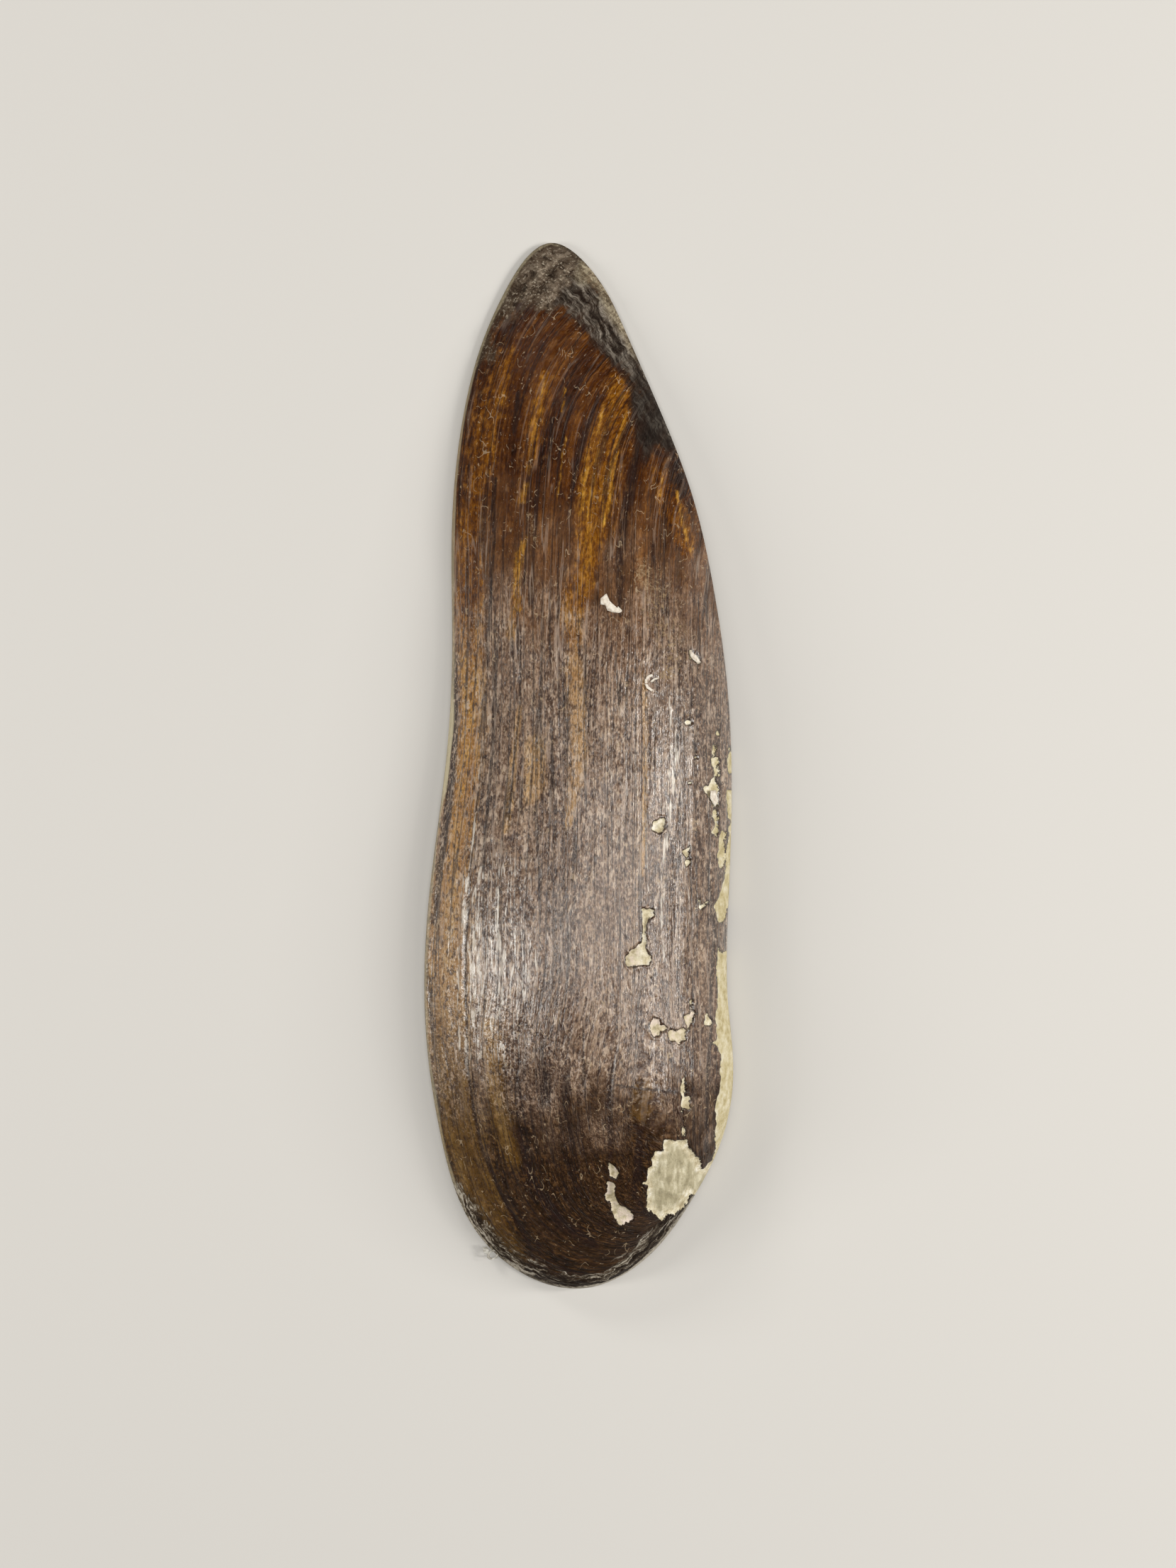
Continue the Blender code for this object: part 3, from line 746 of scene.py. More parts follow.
def inner_height(points):
    """Height of the inner face with its teeth and its sunk scars."""
    x, y, z = points[..., 0], points[..., 1], points[..., 2]
    (ax, ay), (bx, by), (cx, cy) = LATERAL_TOOTH
    ridge_x = np.interp(y, (ay, by, cy), (ax, bx, cx))
    window = smooth_step(*TOOTH_START, y) * (1.0 - smooth_step(*TOOTH_END, y))
    tooth = np.exp(-(((x - ridge_x) / TOOTH_WIDTH) ** 2)) * window
    for (px, py), (rx, ry) in CARDINAL_TEETH:
        tooth = np.maximum(tooth, np.exp(-(((x - px) / rx) ** 2) - ((y - py) / ry) ** 2))
    rough = speckle(points, "inner grain")
    low = TOOTH_HEIGHT + 0.25 * rough
    z = z + tooth * np.minimum(low - z, 0.0)
    for (px, py), (rx, ry), depth in SCARS:
        inside = 1.0 - np.hypot((x - px) / rx, (y - py) / ry)
        scar = smooth_step(-0.06, 0.10, inside + 0.05 * rough)
        z = z + depth * scar * smooth_step(0.3, 1.5, z) * (1.0 + 0.25 * rough)
    return z + speckle(points, "inner swell") * smooth_step(0.3, 2.0, z)


def spoke_places(margin):
    """Which samples of the margin carry a spoke: closer along the hinge, where the chalk shows."""
    rising = smooth_step(*HINGE_CROWDING_START, margin[:, 1])
    falling = 1.0 - smooth_step(*HINGE_CROWDING_END, margin[:, 1])
    crowding = 1.0 + HINGE_CROWDING * rising * falling * (margin[:, 0] > 0.0)
    reached = np.cumsum(crowding) / crowding.sum()
    return np.searchsorted(reached, (np.arange(AROUND) + 0.5) / AROUND)


# The valve's edge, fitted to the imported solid's box, and the vault over it
MARGIN = closed_spline(np.array(OUTLINE), MARGIN_SAMPLES)
MARGIN *= VALVE_LENGTH / np.ptp(MARGIN[:, 1])
MARGIN += 0.5 * (LOW[:2] + HIGH[:2]) - 0.5 * (MARGIN.max(axis=0) + MARGIN.min(axis=0))
OUTSIDE = Vault(MARGIN, CREST_HEIGHT - RIM_HEIGHT)


def valve_surface():
    """Places and fields of every ring, from the crest outside to the deepest point inside."""
    outward = outward_directions(MARGIN)
    land = EDGE_LAND + HINGE_LAND * hinge_share(MARGIN)
    inner_edge = MARGIN - outward * land[:, None]
    inside = Vault(inner_edge, CREST_HEIGHT - WALL)
    spokes = spoke_places(MARGIN)

    shares = np.linspace(0.0, 1.0, OUTER_RINGS + 1)
    plan = np.array([ring_places(MARGIN, OUTSIDE, share)[spokes] for share in shares])
    x, y = plan[..., 0], plan[..., 1]
    outer = np.stack((x, y, RIM_HEIGHT + OUTSIDE.rise(x, y)), axis=-1)
    at = outer_fields(outer, MARGIN)
    outer = outer + OUTSIDE.normals(x, y) * outer_relief(at)[..., None]

    lip, unrolled = [], []
    for step in range(1, LIP_RINGS + 1):
        angle = step / LIP_RINGS * 0.5 * math.pi
        inset = LIP_ROUNDING * (1.0 - math.cos(angle))
        plan = (MARGIN - inset * outward)[spokes]
        height = RIM_HEIGHT * (1.0 - math.sin(angle))
        lip.append(np.column_stack((plan, np.full(AROUND, height))))
        unrolled.append((MARGIN + step / LIP_RINGS * 0.8 * outward)[spokes])

    inner = []
    for step in np.linspace(0.0, 1.0, INNER_RINGS + 1):
        plan = ring_places(inner_edge, inside, 1.0 - step**INNER_CROWDING)[spokes]
        inner.append(np.column_stack((plan, inside.rise(*plan.T))))
    inner = np.array(inner)
    inner[1:, :, 2] = inner_height(inner[1:])
    rings = np.concatenate((outer, lip, inner))
    flat = rings[..., :2]
    plans = np.stack((np.concatenate((flat[:len(outer)], unrolled, inner[..., :2])), flat), axis=2)
    return rings, plans, at


def add_to_scene(name, data):
    """An object of the scene made from a mesh, a light or a camera."""
    made = bpy.data.objects.new(name, data)
    bpy.context.scene.collection.objects.link(made)
    return made


def finish_mesh(name, builder):
    """The mesh of a finished bmesh."""
    mesh = bpy.data.meshes.new(name)
    builder.to_mesh(mesh)
    builder.free()
    return mesh


def lay_out(mesh, plans, ring_of, spoke_of, last_outer):
    """The valve's map for baking: the outer face on the left, the inner face on the right."""
    corner_vertex = np.empty(len(mesh.loops), dtype=np.int64)
    mesh.loops.foreach_get("vertex_index", corner_vertex)
    first_corner = np.empty(len(mesh.polygons), dtype=np.int64)
    corners = np.empty(len(mesh.polygons), dtype=np.int64)
    mesh.polygons.foreach_get("loop_start", first_corner)
    mesh.polygons.foreach_get("loop_total", corners)
    rings = ring_of[corner_vertex]
    outside = np.repeat(np.minimum.reduceat(rings, first_corner), corners) < last_outer
    plan = plans[rings, spoke_of[corner_vertex]]
    across = np.where(outside, 0, 1)
    plan = np.where(outside[:, None], plan[:, 0], plan[:, 1])
    left, right = np.array(MAP_PARTS)[across].T
    u = left + (right - left) * (0.5 + 0.5 * plan[:, 0] / MAP_HALF_WIDTH)
    v = 0.5 + 0.49 * plan[:, 1] / MAP_HALF_LENGTH
    layer = mesh.uv_layers.new(name="OFBake")
    layer.data.foreach_set("uv", np.column_stack((u, v)).astype(np.float32).ravel())


def make_valve():
    """The valve's fine mesh: a ball whose rings are moved to the valve's rings."""
    rings, plans, at = valve_surface()
    count = len(rings)
    builder = bmesh.new()
    bmesh.ops.create_uvsphere(builder, u_segments=AROUND, v_segments=count - 1, radius=1.0)
    ring_of, spoke_of = [], []
    for vertex in builder.verts:
        latitude = math.acos(max(-1.0, min(1.0, vertex.co.z)))
        longitude = math.atan2(vertex.co.y, vertex.co.x) % math.tau
        ring_of.append(round(latitude / math.pi * (count - 1)))
        spoke_of.append(round(longitude / math.tau * AROUND) % AROUND)
    for vertex, ring, spoke in zip(builder.verts, ring_of, spoke_of):
        vertex.co = rings[ring][spoke] * MM
    mesh = finish_mesh("mussel_valve", builder)
    mesh.shade_smooth()

    ring_of, spoke_of = np.array(ring_of), np.array(spoke_of)
    lay_out(mesh, plans, ring_of, spoke_of, OUTER_RINGS + LIP_RINGS)
    source = np.minimum(ring_of, OUTER_RINGS)
    within = np.clip((ring_of - OUTER_RINGS) / 2.0, 0.0, 1.0)
    from_edge = rings[ring_of, spoke_of, :2] - rings[OUTER_RINGS, spoke_of, :2]
    edge = np.where(ring_of > OUTER_RINGS, np.hypot(*from_edge.T), at["edge"][source, spoke_of])

    fields = {name: field[source, spoke_of] for name, field in at.items()}
    fields |= {"edge": edge, "within": within}
    # Dust, the painted highlight paths and the hem go together in one vector
    for name, parts in (
            ("growth", ("line", "along", "edge")), ("marks", ("gold", "dark", "amber")),
            ("wear", ("bare", "tip", "frill")), ("grime_and_highlights", ("dust", "worn", "hem")),
            ("layers", ("within", "tan", "pit"))):
        values = np.column_stack([fields[part] for part in parts])
        attribute = mesh.attributes.new(name, "FLOAT_VECTOR", "POINT")
        attribute.data.foreach_set("vector", values.astype(np.float32).ravel())
    return add_to_scene("mussel_valve", mesh)


class Value:
    """A number, place or colour that a material works out at every point of a surface."""

    def __init__(self, recipe, socket):
        self.recipe = recipe
        self.socket = socket

    def __add__(self, other):
        return self.recipe.sum("ADD", self, other)

    def __sub__(self, other):
        return self.recipe.sum("SUBTRACT", self, other)

    def __rsub__(self, other):
        return self.recipe.sum("SUBTRACT", other, self)

    def __mul__(self, other):
        return self.recipe.sum("MULTIPLY", self, other)

    def __abs__(self):
        return self.recipe.sum("ABSOLUTE", self)

    def larger(self, other):
        """The larger of two numbers."""
        return self.recipe.sum("MAXIMUM", self, other)

    def step(self, low, high, to_low=0.0, to_high=1.0):
        """A soft passage between two numbers."""
        return self.recipe.node("ShaderNodeMapRange", {
            "Value": self, "From Min": low, "From Max": high, "To Min": to_low, "To Max": to_high,
        }, interpolation_type="SMOOTHSTEP")

    def window(self, start, full, fading, end):
        """1 between the inner two of four numbers, falling softly to 0 at the outer two."""
        return self.step(start, full) * self.step(end, fading)

    def between(self, first, second):
        """A number that goes from the first to the second as this one goes from 0 to 1."""
        return self.recipe.node("ShaderNodeMix", {0: self, 2: first, 3: second}, data_type="FLOAT")

    def split(self):
        """The three parts of a place."""
        parts = self.recipe.node("ShaderNodeSeparateXYZ", {0: self}).socket.node.outputs
        return [Value(self.recipe, part) for part in parts]

    def grain(self, scale, detail=2.0, roughness=0.5):
        """Noise from 0 to 1 at a place."""
        return self.recipe.node("ShaderNodeTexNoise", {
            "Vector": self, "Scale": scale, "Detail": detail, "Roughness": roughness})

    def seam(self, scale, width):
        """Thin lines where a noise crosses its middle."""
        return abs(self.grain(scale, 1.0) - 0.5).step(width, 0.3 * width)

    def ramp(self, *stops):
        """Colours along a number, one at each stop."""
        tinted = self.recipe.node("ShaderNodeValToRGB", {0: self})
        elements = tinted.socket.node.color_ramp.elements
        while len(elements) < len(stops):
            elements.new(1.0)
        for element, (position, colour) in zip(elements, stops):
            element.position = position
            element.color = (*colour, 1.0)
        return tinted

    def painted(self, share, paint):
        """A colour with a share of a paint laid over it."""
        return self.recipe.mix(self, share, paint)

    def bump(self, distance, strength):
        """Fine relief whose height is this number."""
        return self.recipe.node("ShaderNodeBump", {
            "Height": self, "Distance": distance, "Strength": strength})


class Recipe:
    """A material in the making."""

    def __init__(self, name):
        self.material = bpy.data.materials.new(name)
        self.material.use_nodes = True
        self.tree = self.material.node_tree
        self.shader = self.tree.nodes["Principled BSDF"]

    def put(self, socket, value):
        """Joins a value to a socket, or sets the socket to a plain number or colour."""
        if isinstance(value, Value):
            self.tree.links.new(value.socket, socket)
        elif socket.type == "RGBA":
            socket.default_value = (*value, 1.0)
        else:
            socket.default_value = value

    def node(self, kind, inputs=(), output=0, **settings):
        """Makes a node and gives the value that comes out of it."""
        made = self.tree.nodes.new(kind)
        for name, setting in settings.items():
            setattr(made, name, setting)
        for name, value in dict(inputs).items():
            self.put(made.inputs[name], value)
        return Value(self, made.outputs[output])

    def sum(self, operation, first, second=0.0):
        return self.node("ShaderNodeMath", {0: first, 1: second}, operation=operation)

    def mix(self, colour, share, paint):
        """A colour with a share of a paint laid over it."""
        return self.node("ShaderNodeMix", {0: share, 6: colour, 7: paint}, 2, data_type="RGBA")

    def attribute(self, name):
        """The three values that a mesh carries under one name."""
        return self.node("ShaderNodeAttribute", output="Vector", attribute_name=name).split()

    def spot(self):
        """The place on the object, in metres."""
        return self.node("ShaderNodeTexCoord", output="Object")

    def place(self, x, y, z):
        return self.node("ShaderNodeCombineXYZ", {0: x, 1: y, 2: z})

    def finish(self, **looks):
        """Sets the shader's sockets, each named with _ for a space, and gives the material."""
        for name, value in looks.items():
            self.put(self.shader.inputs[name.replace("_", " ")], value)
        return self.material


class Skin:
    """What the valve's mesh carries, the grain on it, and where each of its layers shows."""

    def __init__(self, recipe):
        self.recipe = recipe
        self.line, self.along, self.edge = recipe.attribute("growth")
        self.gold, self.dark, self.amber = recipe.attribute("marks")
        self.bare, self.tip, self.frill = recipe.attribute("wear")
        # The middle value carries the painted highlight paths as well as pale wear
        self.dust, self.worn, self.hem = recipe.attribute("grime_and_highlights")
        self.within, self.tan, self.pit = recipe.attribute("layers")
        self.spot = recipe.node("ShaderNodeVectorMath", {0: recipe.spot(), 1: (1.0 / MM,) * 3},
                                operation="MULTIPLY")
        self.x, self.y, _ = self.spot.split()
        self.add_grain()
        self.add_zones()
        self.add_crust_and_hem()
        self.add_chalk_and_dust()

    def drawn_out(self, shortness, seed):
        """Places for a pattern that runs along the growth lines."""
        return self.recipe.place(self.line, self.along * shortness, seed)

    def add_grain(self):
        """Grain from broad bands to short dapple, and three mixtures of it."""
        self.broad = self.drawn_out(0.07, 1.0).grain(0.45, 3.0)
        self.medium = self.drawn_out(0.06, 2.0).grain(1.4, 3.0, 0.6)
        self.fine = self.drawn_out(0.11, 3.0).grain(3.0, 3.0, 0.65)
        self.dashes = self.drawn_out(0.32, 4.0).grain(2.9, 2.0, 0.6)
        self.dapple = self.drawn_out(0.55, 5.0).grain(2.2, 4.0, 0.68)
        self.blotch = self.spot.grain(0.22, 3.0, 0.6)
        self.tone = self.mixture(0.34, 0.24, 0.20, 0.08, 0.14)
        self.mottled = self.mixture(0.20, 0.14, 0.14, 0.18, 0.34)
        self.grainy = self.mixture(0.25, 0.18, 0.16, 0.14, 0.27)
        self.silky = self.fine * 0.5 + self.dapple * 0.5
        self.cracks = self.drawn_out(0.015, 6.0).seam(1.2, 0.030) * 0.62

    def mixture(self, broad, medium, fine, dashes, dapple):
        """Grain mixed in the given shares."""
        return (self.broad * broad + self.medium * medium + self.fine * fine
                + self.dashes * dashes + self.dapple * dapple)

    def add_zones(self):
        """The length of the valve with blotchy and with banded borders, and its middle."""
        self.shifted = self.y + (self.blotch - 0.5) * 26.0
        self.banded = self.y + (self.broad - 0.5) * 14.0
        self.middle = self.shifted.window(*MIDDLE_ZONE)

    def add_crust_and_hem(self):
        """Where the rear crust, the frilled band and the frayed hem cover the skin."""
        spot, along, edge = self.spot, self.along, self.edge
        streaks = self.drawn_out(0.10, 31.0).grain(1.3, 3.0, 0.6)
        self.grit = spot.grain(1.7, 4.0, 0.72)
        self.lumps = self.recipe.node("ShaderNodeTexVoronoi", {
            "Vector": spot, "Scale": 0.95, "Detail": 1.0}, "Distance")
        coarse = self.drawn_out(0.3, 21.0).grain(1.2, 3.0)
        self.mottle = self.grit * 0.62 + coarse * 0.38 + (self.lumps - 0.5) * -0.10
        self.crusty = (self.tip * 1.2 + self.mottle * 0.9 + streaks * 1.5).step(1.55, 2.15)

        swirl = edge + spot.grain(0.55) * 1.8
        self.leaves = self.recipe.place(swirl * 1.7, along * 0.40, 3.0).grain(1.1, 4.0, 0.72)
        self.frilly = (self.frill * 1.2 + self.leaves * 0.5 + streaks * 1.5).step(1.35, 2.0)

        flayed = edge + spot.grain(0.5, 3.0) * 1.6
        layered = self.recipe.place(flayed * 2.0, along * 0.22, 9.0).grain(1.5, 3.0, 0.7)
        layered = layered + (self.grit - 0.5) * 0.38 + edge.step(1.3, 0.3, -0.01, 0.09)
        self.layered = layered + self.x.step(-6.0, 6.0, -0.01, 0.03)
        self.frayed = (self.hem + self.layered * 1.2).step(0.85, 1.3)
        self.covered = self.frilly.larger(self.tan).larger(self.frayed * 0.7)

    def add_chalk_and_dust(self):
        """Where the chalk is bare, with a nibbled edge, and where dust lies."""
        self.depth = self.bare + (self.spot.grain(2.8, 3.0, 0.65) - 0.5) * 0.50
        self.chalky = self.depth.step(-0.01, 0.04)
        self.powder = self.spot.grain(0.8, 5.0, 0.7)
        self.whole = 1.0 - self.chalky.larger(self.within)
        crumbs = self.spot.grain(2.6, 3.0, 0.72) * 0.75 + self.blotch * 0.25
        self.dusty = (self.dust * 0.12 + crumbs).step(0.585, 0.72) * self.dust.step(0.0, 0.5, 0.12, 1.0)
        self.sheen = self.spot.grain(0.16, 3.0)


def bare_skin(skin):
    """Russet towards the rear, greyish umber in the middle under a grey veil, partly a mineral film and
    partly a painted sheen, and dark at the front.
    """
    umber = skin.grainy.ramp(
        (0.41, (0.022, 0.009, 0.005)), (0.475, (0.082, 0.042, 0.024)),
        (0.53, (0.168, 0.101, 0.063)), (0.585, (0.34, 0.24, 0.165)))
    russet = skin.tone.ramp(
        (0.41, (0.012, 0.0028, 0.0003)), (0.475, (0.042, 0.0108, 0.0010)),
        (0.53, (0.085, 0.0255, 0.0025)), (0.60, (0.17, 0.062, 0.009)))
    dusky = skin.mottled.ramp(
        (0.40, (0.006, 0.0025, 0.0008)), (0.475, (0.021, 0.009, 0.0025)),
        (0.53, (0.042, 0.019, 0.0065)), (0.60, (0.095, 0.050, 0.022)))
    colour = umber.painted(skin.shifted.step(*REAR_ZONE), russet)
    colour = colour.painted(skin.shifted.step(*FRONT_ZONE), dusky)
    # A grey veil over the middle, partly a mineral film and partly a painted sheen of the overhead light
    haze_and_sheen = (skin.fine * 0.45 + skin.dapple * 0.55).step(0.42, 0.60)
    haze_and_sheen = haze_and_sheen * skin.middle * skin.y.step(-26.0, 2.0, 0.20, 0.36)
    colour = colour.painted(haze_and_sheen, (0.33, 0.222, 0.152))
    return colour.painted(skin.shifted.window(*WARM_PASSAGE) * 0.26, (0.25, 0.128, 0.058))


def rays(skin, colour):
    """Amber and gold rays, dark streaks and a painted shadow below the frills, and the tan to brown band
    along the belly side.
    """
    ray = skin.mottled.ramp(
        (0.41, (0.045, 0.011, 0.0006)), (0.475, (0.115, 0.036, 0.002)),
        (0.53, (0.205, 0.075, 0.004)), (0.59, (0.36, 0.160, 0.014)))
    band = skin.tone.ramp(
        (0.40, (0.15, 0.055, 0.006)), (0.475, (0.30, 0.132, 0.017)),
        (0.53, (0.41, 0.205, 0.036)), (0.60, (0.56, 0.35, 0.11)))
    band = band.painted(skin.banded.step(-4.0, -20.0, 0.0, 0.45), (0.30, 0.20, 0.125))
    dull = skin.tone.ramp(
        (0.40, (0.042, 0.018, 0.002)), (0.475, (0.090, 0.043, 0.007)),
        (0.53, (0.140, 0.074, 0.017)), (0.60, (0.22, 0.130, 0.042)))
    amber = ray.painted(skin.shifted.step(22.0, 6.0), band)
    amber = amber.painted(skin.banded.step(-20.0, -42.0), dull)
    faint = skin.x.step(-12.6, -10.6) * skin.shifted.step(18.0, 8.0) * skin.y.step(-20.0, -10.0)
    amber = amber.painted(faint * 0.68, (0.47, 0.295, 0.140))
    loose = skin.medium * 0.6 + skin.fine * 0.5 + skin.dapple * 1.1
    share = (skin.amber + loose).step(1.22, 2.0)
    colour = colour.painted(share * faint.between(0.95, 0.80), amber)

    loose = skin.fine * 0.9 + skin.dapple * 0.8
    colour = colour.painted((skin.gold + loose).step(1.25, 2.0) * 0.85, skin.silky.ramp(
        (0.38, (0.19, 0.066, 0.004)), (0.50, (0.36, 0.16, 0.014)), (0.61, (0.56, 0.31, 0.05))))
    # Dark streaks, and the painted shadow along the lower edge of the frills
    return colour.painted((skin.dark + loose).step(1.12, 1.75) * 0.82, (0.017, 0.008, 0.006))


def fine_wear(skin, colour):
    """Short light and dark dashes, pores, cracks, silky lines, glints and scratches."""
    middle = skin.middle
    cluster = skin.drawn_out(0.16, 33.0).grain(0.55, 3.0, 0.6).step(0.40, 0.62)
    lit = skin.dashes.step(0.525, 0.63) * middle.between(0.18, 0.74) * cluster.between(0.22, 1.0)
    pale = skin.recipe.mix((0.34, 0.17, 0.06), middle, (0.56, 0.445, 0.345))
    colour = colour.painted(lit, pale)
    deep = skin.drawn_out(0.28, 14.0).grain(2.8, 2.0, 0.6).step(0.47, 0.37)
    colour = colour.painted(deep * middle.between(0.42, 0.74), (0.030, 0.013, 0.010))
    pores = skin.drawn_out(0.45, 41.0).grain(5.2, 2.0, 0.6)
    colour = colour.painted(pores.step(0.45, 0.36) * middle.between(0.34, 0.56), (0.030, 0.014, 0.009))
    colour = colour.painted(pores.step(0.55, 0.65) * middle * 0.40, (0.54, 0.41, 0.30))
    colour = colour.painted(skin.cracks, (0.015, 0.008, 0.007))

    silk = skin.drawn_out(0.05, 7.0).seam(1.5, 0.034) * skin.shifted.step(34.0, 14.0, 0.32, 1.0)
    silk = silk * skin.drawn_out(0.12, 17.0).grain(0.9).step(0.42, 0.58) * skin.y.step(-45.0, -28.0)
    colour = colour.painted(silk * 0.46, (0.46, 0.35, 0.27))
    flank = skin.x.window(*LIT_FLANK_X) * skin.y.window(*LIT_FLANK_Y)
    glint = skin.drawn_out(0.035, 23.0).seam(2.3, 0.038) * skin.dashes.step(0.42, 0.52)
    colour = colour.painted(glint * flank * 0.8, (0.74, 0.70, 0.64))
    scratch = skin.recipe.place(skin.x, skin.y * 0.6, 19.0).seam(0.9, 0.016)
    scratch = scratch * skin.spot.grain(0.5, 3.0, 0.7).step(0.55, 0.60)
    return colour.painted(scratch * 0.6, (0.44, 0.33, 0.21))


def highlights_wear_and_dust(skin, colour):
    """Painted highlights on skin rubbed pale, the crack across the skin near the beak, pale flecks and dust.
    """
    # Painted highlights: pale streaks broken up by bristle grain along the paths on the shoulder and flank
    bristle = skin.drawn_out(0.12, 12.0).grain(3.0, 2.0, 0.6)
    worn = (skin.worn + bristle * 3.0).step(2.35, 2.80)
    colour = colour.painted(worn * 0.80, (0.66, 0.60, 0.52))
    crack = abs(skin.y + skin.x * CROSS_CRACK_SLOPE - CROSS_CRACK_Y + (skin.dapple - 0.5) * 1.2)
    crack = crack.step(0.24, 0.08) * skin.x.window(*CROSS_CRACK_X)
    colour = colour.painted(crack * 0.75, (0.020, 0.010, 0.008))
    fleck = skin.drawn_out(0.5, 8.0).grain(3.0, 2.0, 0.7).step(0.66, 0.72)
    colour = colour.painted(fleck * 0.5, (0.42, 0.33, 0.24))
    return colour.painted(skin.dusty * 0.6, (0.40, 0.29, 0.17))


def rear_tip(skin, colour):
    """The pitted crust of the rear tip with painted shade in its hollows and pits and painted highlights on
    its lumps, the frilled hinge side next to it and its tan rim.
    """
    crust = skin.mottle.ramp(
        (0.37, (0.045, 0.031, 0.021)), (0.45, (0.132, 0.098, 0.069)),
        (0.53, (0.200, 0.156, 0.113)), (0.61, (0.38, 0.31, 0.235)))
    # Painted shade and highlights on the crust: dark spots in its hollows, pale specks on its lumps, and the
    # pits painted dark
    shaded_hollows = skin.spot.grain(1.5, 2.0, 0.6).step(0.41, 0.34)
    lit_specks = skin.spot.grain(3.1, 2.0, 0.6).step(0.56, 0.66)
    for share, paint in (
            (skin.y.step(57.5, 52.5, 0.0, 0.60), (0.062, 0.036, 0.017)),
            (shaded_hollows * 0.65, (0.022, 0.015, 0.010)), (lit_specks * 0.66, (0.58, 0.50, 0.385)),
            (skin.edge.step(2.2, 0.4) * 0.45, (0.040, 0.026, 0.016)),
            (skin.pit * 0.85, (0.014, 0.009, 0.006))):
        crust = crust.painted(share, paint)
    colour = colour.painted(skin.crusty * 0.92, crust)

    frill = skin.leaves.ramp(
        (0.40, (0.016, 0.011, 0.008)), (0.48, (0.066, 0.053, 0.041)),
        (0.54, (0.145, 0.123, 0.100)), (0.61, (0.30, 0.264, 0.218)))
    frill = frill.painted(skin.y.step(50.5, 44.5, 0.0, 0.80), (0.014, 0.010, 0.008))
    frill = frill.painted(skin.frill.step(0.95, 0.45, 0.0, 0.55), (0.034, 0.014, 0.007))
    colour = colour.painted(skin.frilly * 0.94, frill)
    return colour.painted(skin.tan * 0.9, (skin.leaves * 0.45 + skin.grit * 0.55).ramp(
        (0.40, (0.090, 0.066, 0.040)), (0.50, (0.22, 0.175, 0.115)), (0.60, (0.46, 0.40, 0.28))))


def hem_and_rim(skin, colour):
    """The layered, pale frayed hem round the front, and the thin pale rim of the belly side."""
    colour = colour.painted(skin.frayed * 0.9, skin.layered.ramp(
        (0.43, (0.014, 0.008, 0.005)), (0.49, (0.050, 0.035, 0.024)),
        (0.55, (0.19, 0.155, 0.112)), (0.62, (0.56, 0.51, 0.425))))
    bright = skin.y.window(*BRIGHT_RIM_Y)
    rim = (skin.edge + skin.medium * 0.8 + bright * -0.12).step(0.86, 0.62)
    rim = rim * skin.x.step(-1.0, -5.0) * bright.between(0.42, 0.9)
    return colour.painted(rim * (1.0 - skin.covered), (0.52, 0.455, 0.30))


def chalk(skin, colour):
    """Bare chalk with a painted shadow round its border, rosy on the small chips and yellower at the hinge.
    """
    cream = skin.powder.ramp(
        (0.36, (0.42, 0.35, 0.22)), (0.46, (0.62, 0.55, 0.38)),
        (0.54, (0.74, 0.68, 0.52)), (0.64, (0.90, 0.86, 0.76)))
    greyer = skin.recipe.place(skin.x, skin.y * 0.4, 1.0).grain(1.1, 3.0, 0.6).ramp(
        (0.38, (0.34, 0.30, 0.195)), (0.52, (0.49, 0.44, 0.30)), (0.66, (0.70, 0.65, 0.49)))
    cream = cream.painted(skin.depth.step(0.35, 1.0) * skin.x.step(15.6, 14.8), greyer)
    patches = skin.x.step(14.7, 14.1) * skin.y.window(*ROSY_PATCHES_Y)
    rosy = skin.powder.step(0.40, 0.62) * skin.x.step(7.4, 6.4).larger(patches)
    cream = cream.painted(rosy * 0.7, (0.70, 0.57, 0.49))
    cream = cream.painted(skin.x.step(15.4, 16.4, 0.0, 0.42), (0.42, 0.35, 0.15))
    # Painted shadow: a dark band on the skin round the edge of the chalk
    colour = colour.painted(skin.depth.step(-0.24, -0.02) * 0.7, (0.022, 0.012, 0.008))
    return colour.painted(skin.chalky, cream)


def nacre(skin, colour):
    """Pale nacre inside, duller near the edge and brown along it."""
    pearl = skin.sheen.ramp(
        (0.30, (0.66, 0.60, 0.60)), (0.45, (0.71, 0.69, 0.66)),
        (0.58, (0.64, 0.68, 0.68)), (0.70, (0.74, 0.68, 0.61)))
    pearl = pearl.painted(skin.edge.step(6.2, 4.6) * 0.5, (0.74, 0.70, 0.64))
    pearl = pearl.painted(skin.edge.step(1.5, 0.6) * 0.8, (0.30, 0.23, 0.14))
    return colour.painted(skin.within, pearl)


def surface_roughness(skin):
    """Smooth skin, duller at the front, on the crust and hem, on dust and on chalk."""
    rough = skin.silky.step(0.36, 0.64, 0.17, 0.32)
    rough = skin.shifted.step(-32.0, -46.0).between(rough, 0.36)
    for layer, duller in ((skin.covered.larger(skin.crusty), 0.60), (skin.dusty, 0.75), (skin.chalky, 0.72)):
        rough = layer.between(rough, duller)
    return skin.within.between(rough, skin.sheen.step(0.3, 0.7, 0.20, 0.34))


def surface_relief(skin):
    """Relief finer than the mesh: growth lines, crust, frills, dust and powdery chalk."""
    height = skin.medium * 0.16 + skin.fine * 0.24 + skin.dashes * 0.34 + skin.dapple * 0.10
    height = height + skin.cracks * -0.08
    gritty = skin.crusty + skin.frayed * 0.7
    height = height + gritty * (skin.mottle * 0.9 + skin.lumps * -0.32 + skin.pit * -0.3)
    height = height + skin.frilly * skin.leaves * 0.6 + skin.dusty * 0.04
    chalk_grain = skin.spot.grain(3.0, 4.0, 0.65) * 0.10 + skin.powder * 0.30
    height = height * skin.whole + chalk_grain * skin.chalky * (1.0 - skin.within)
    return height.bump(MM, 1.0)


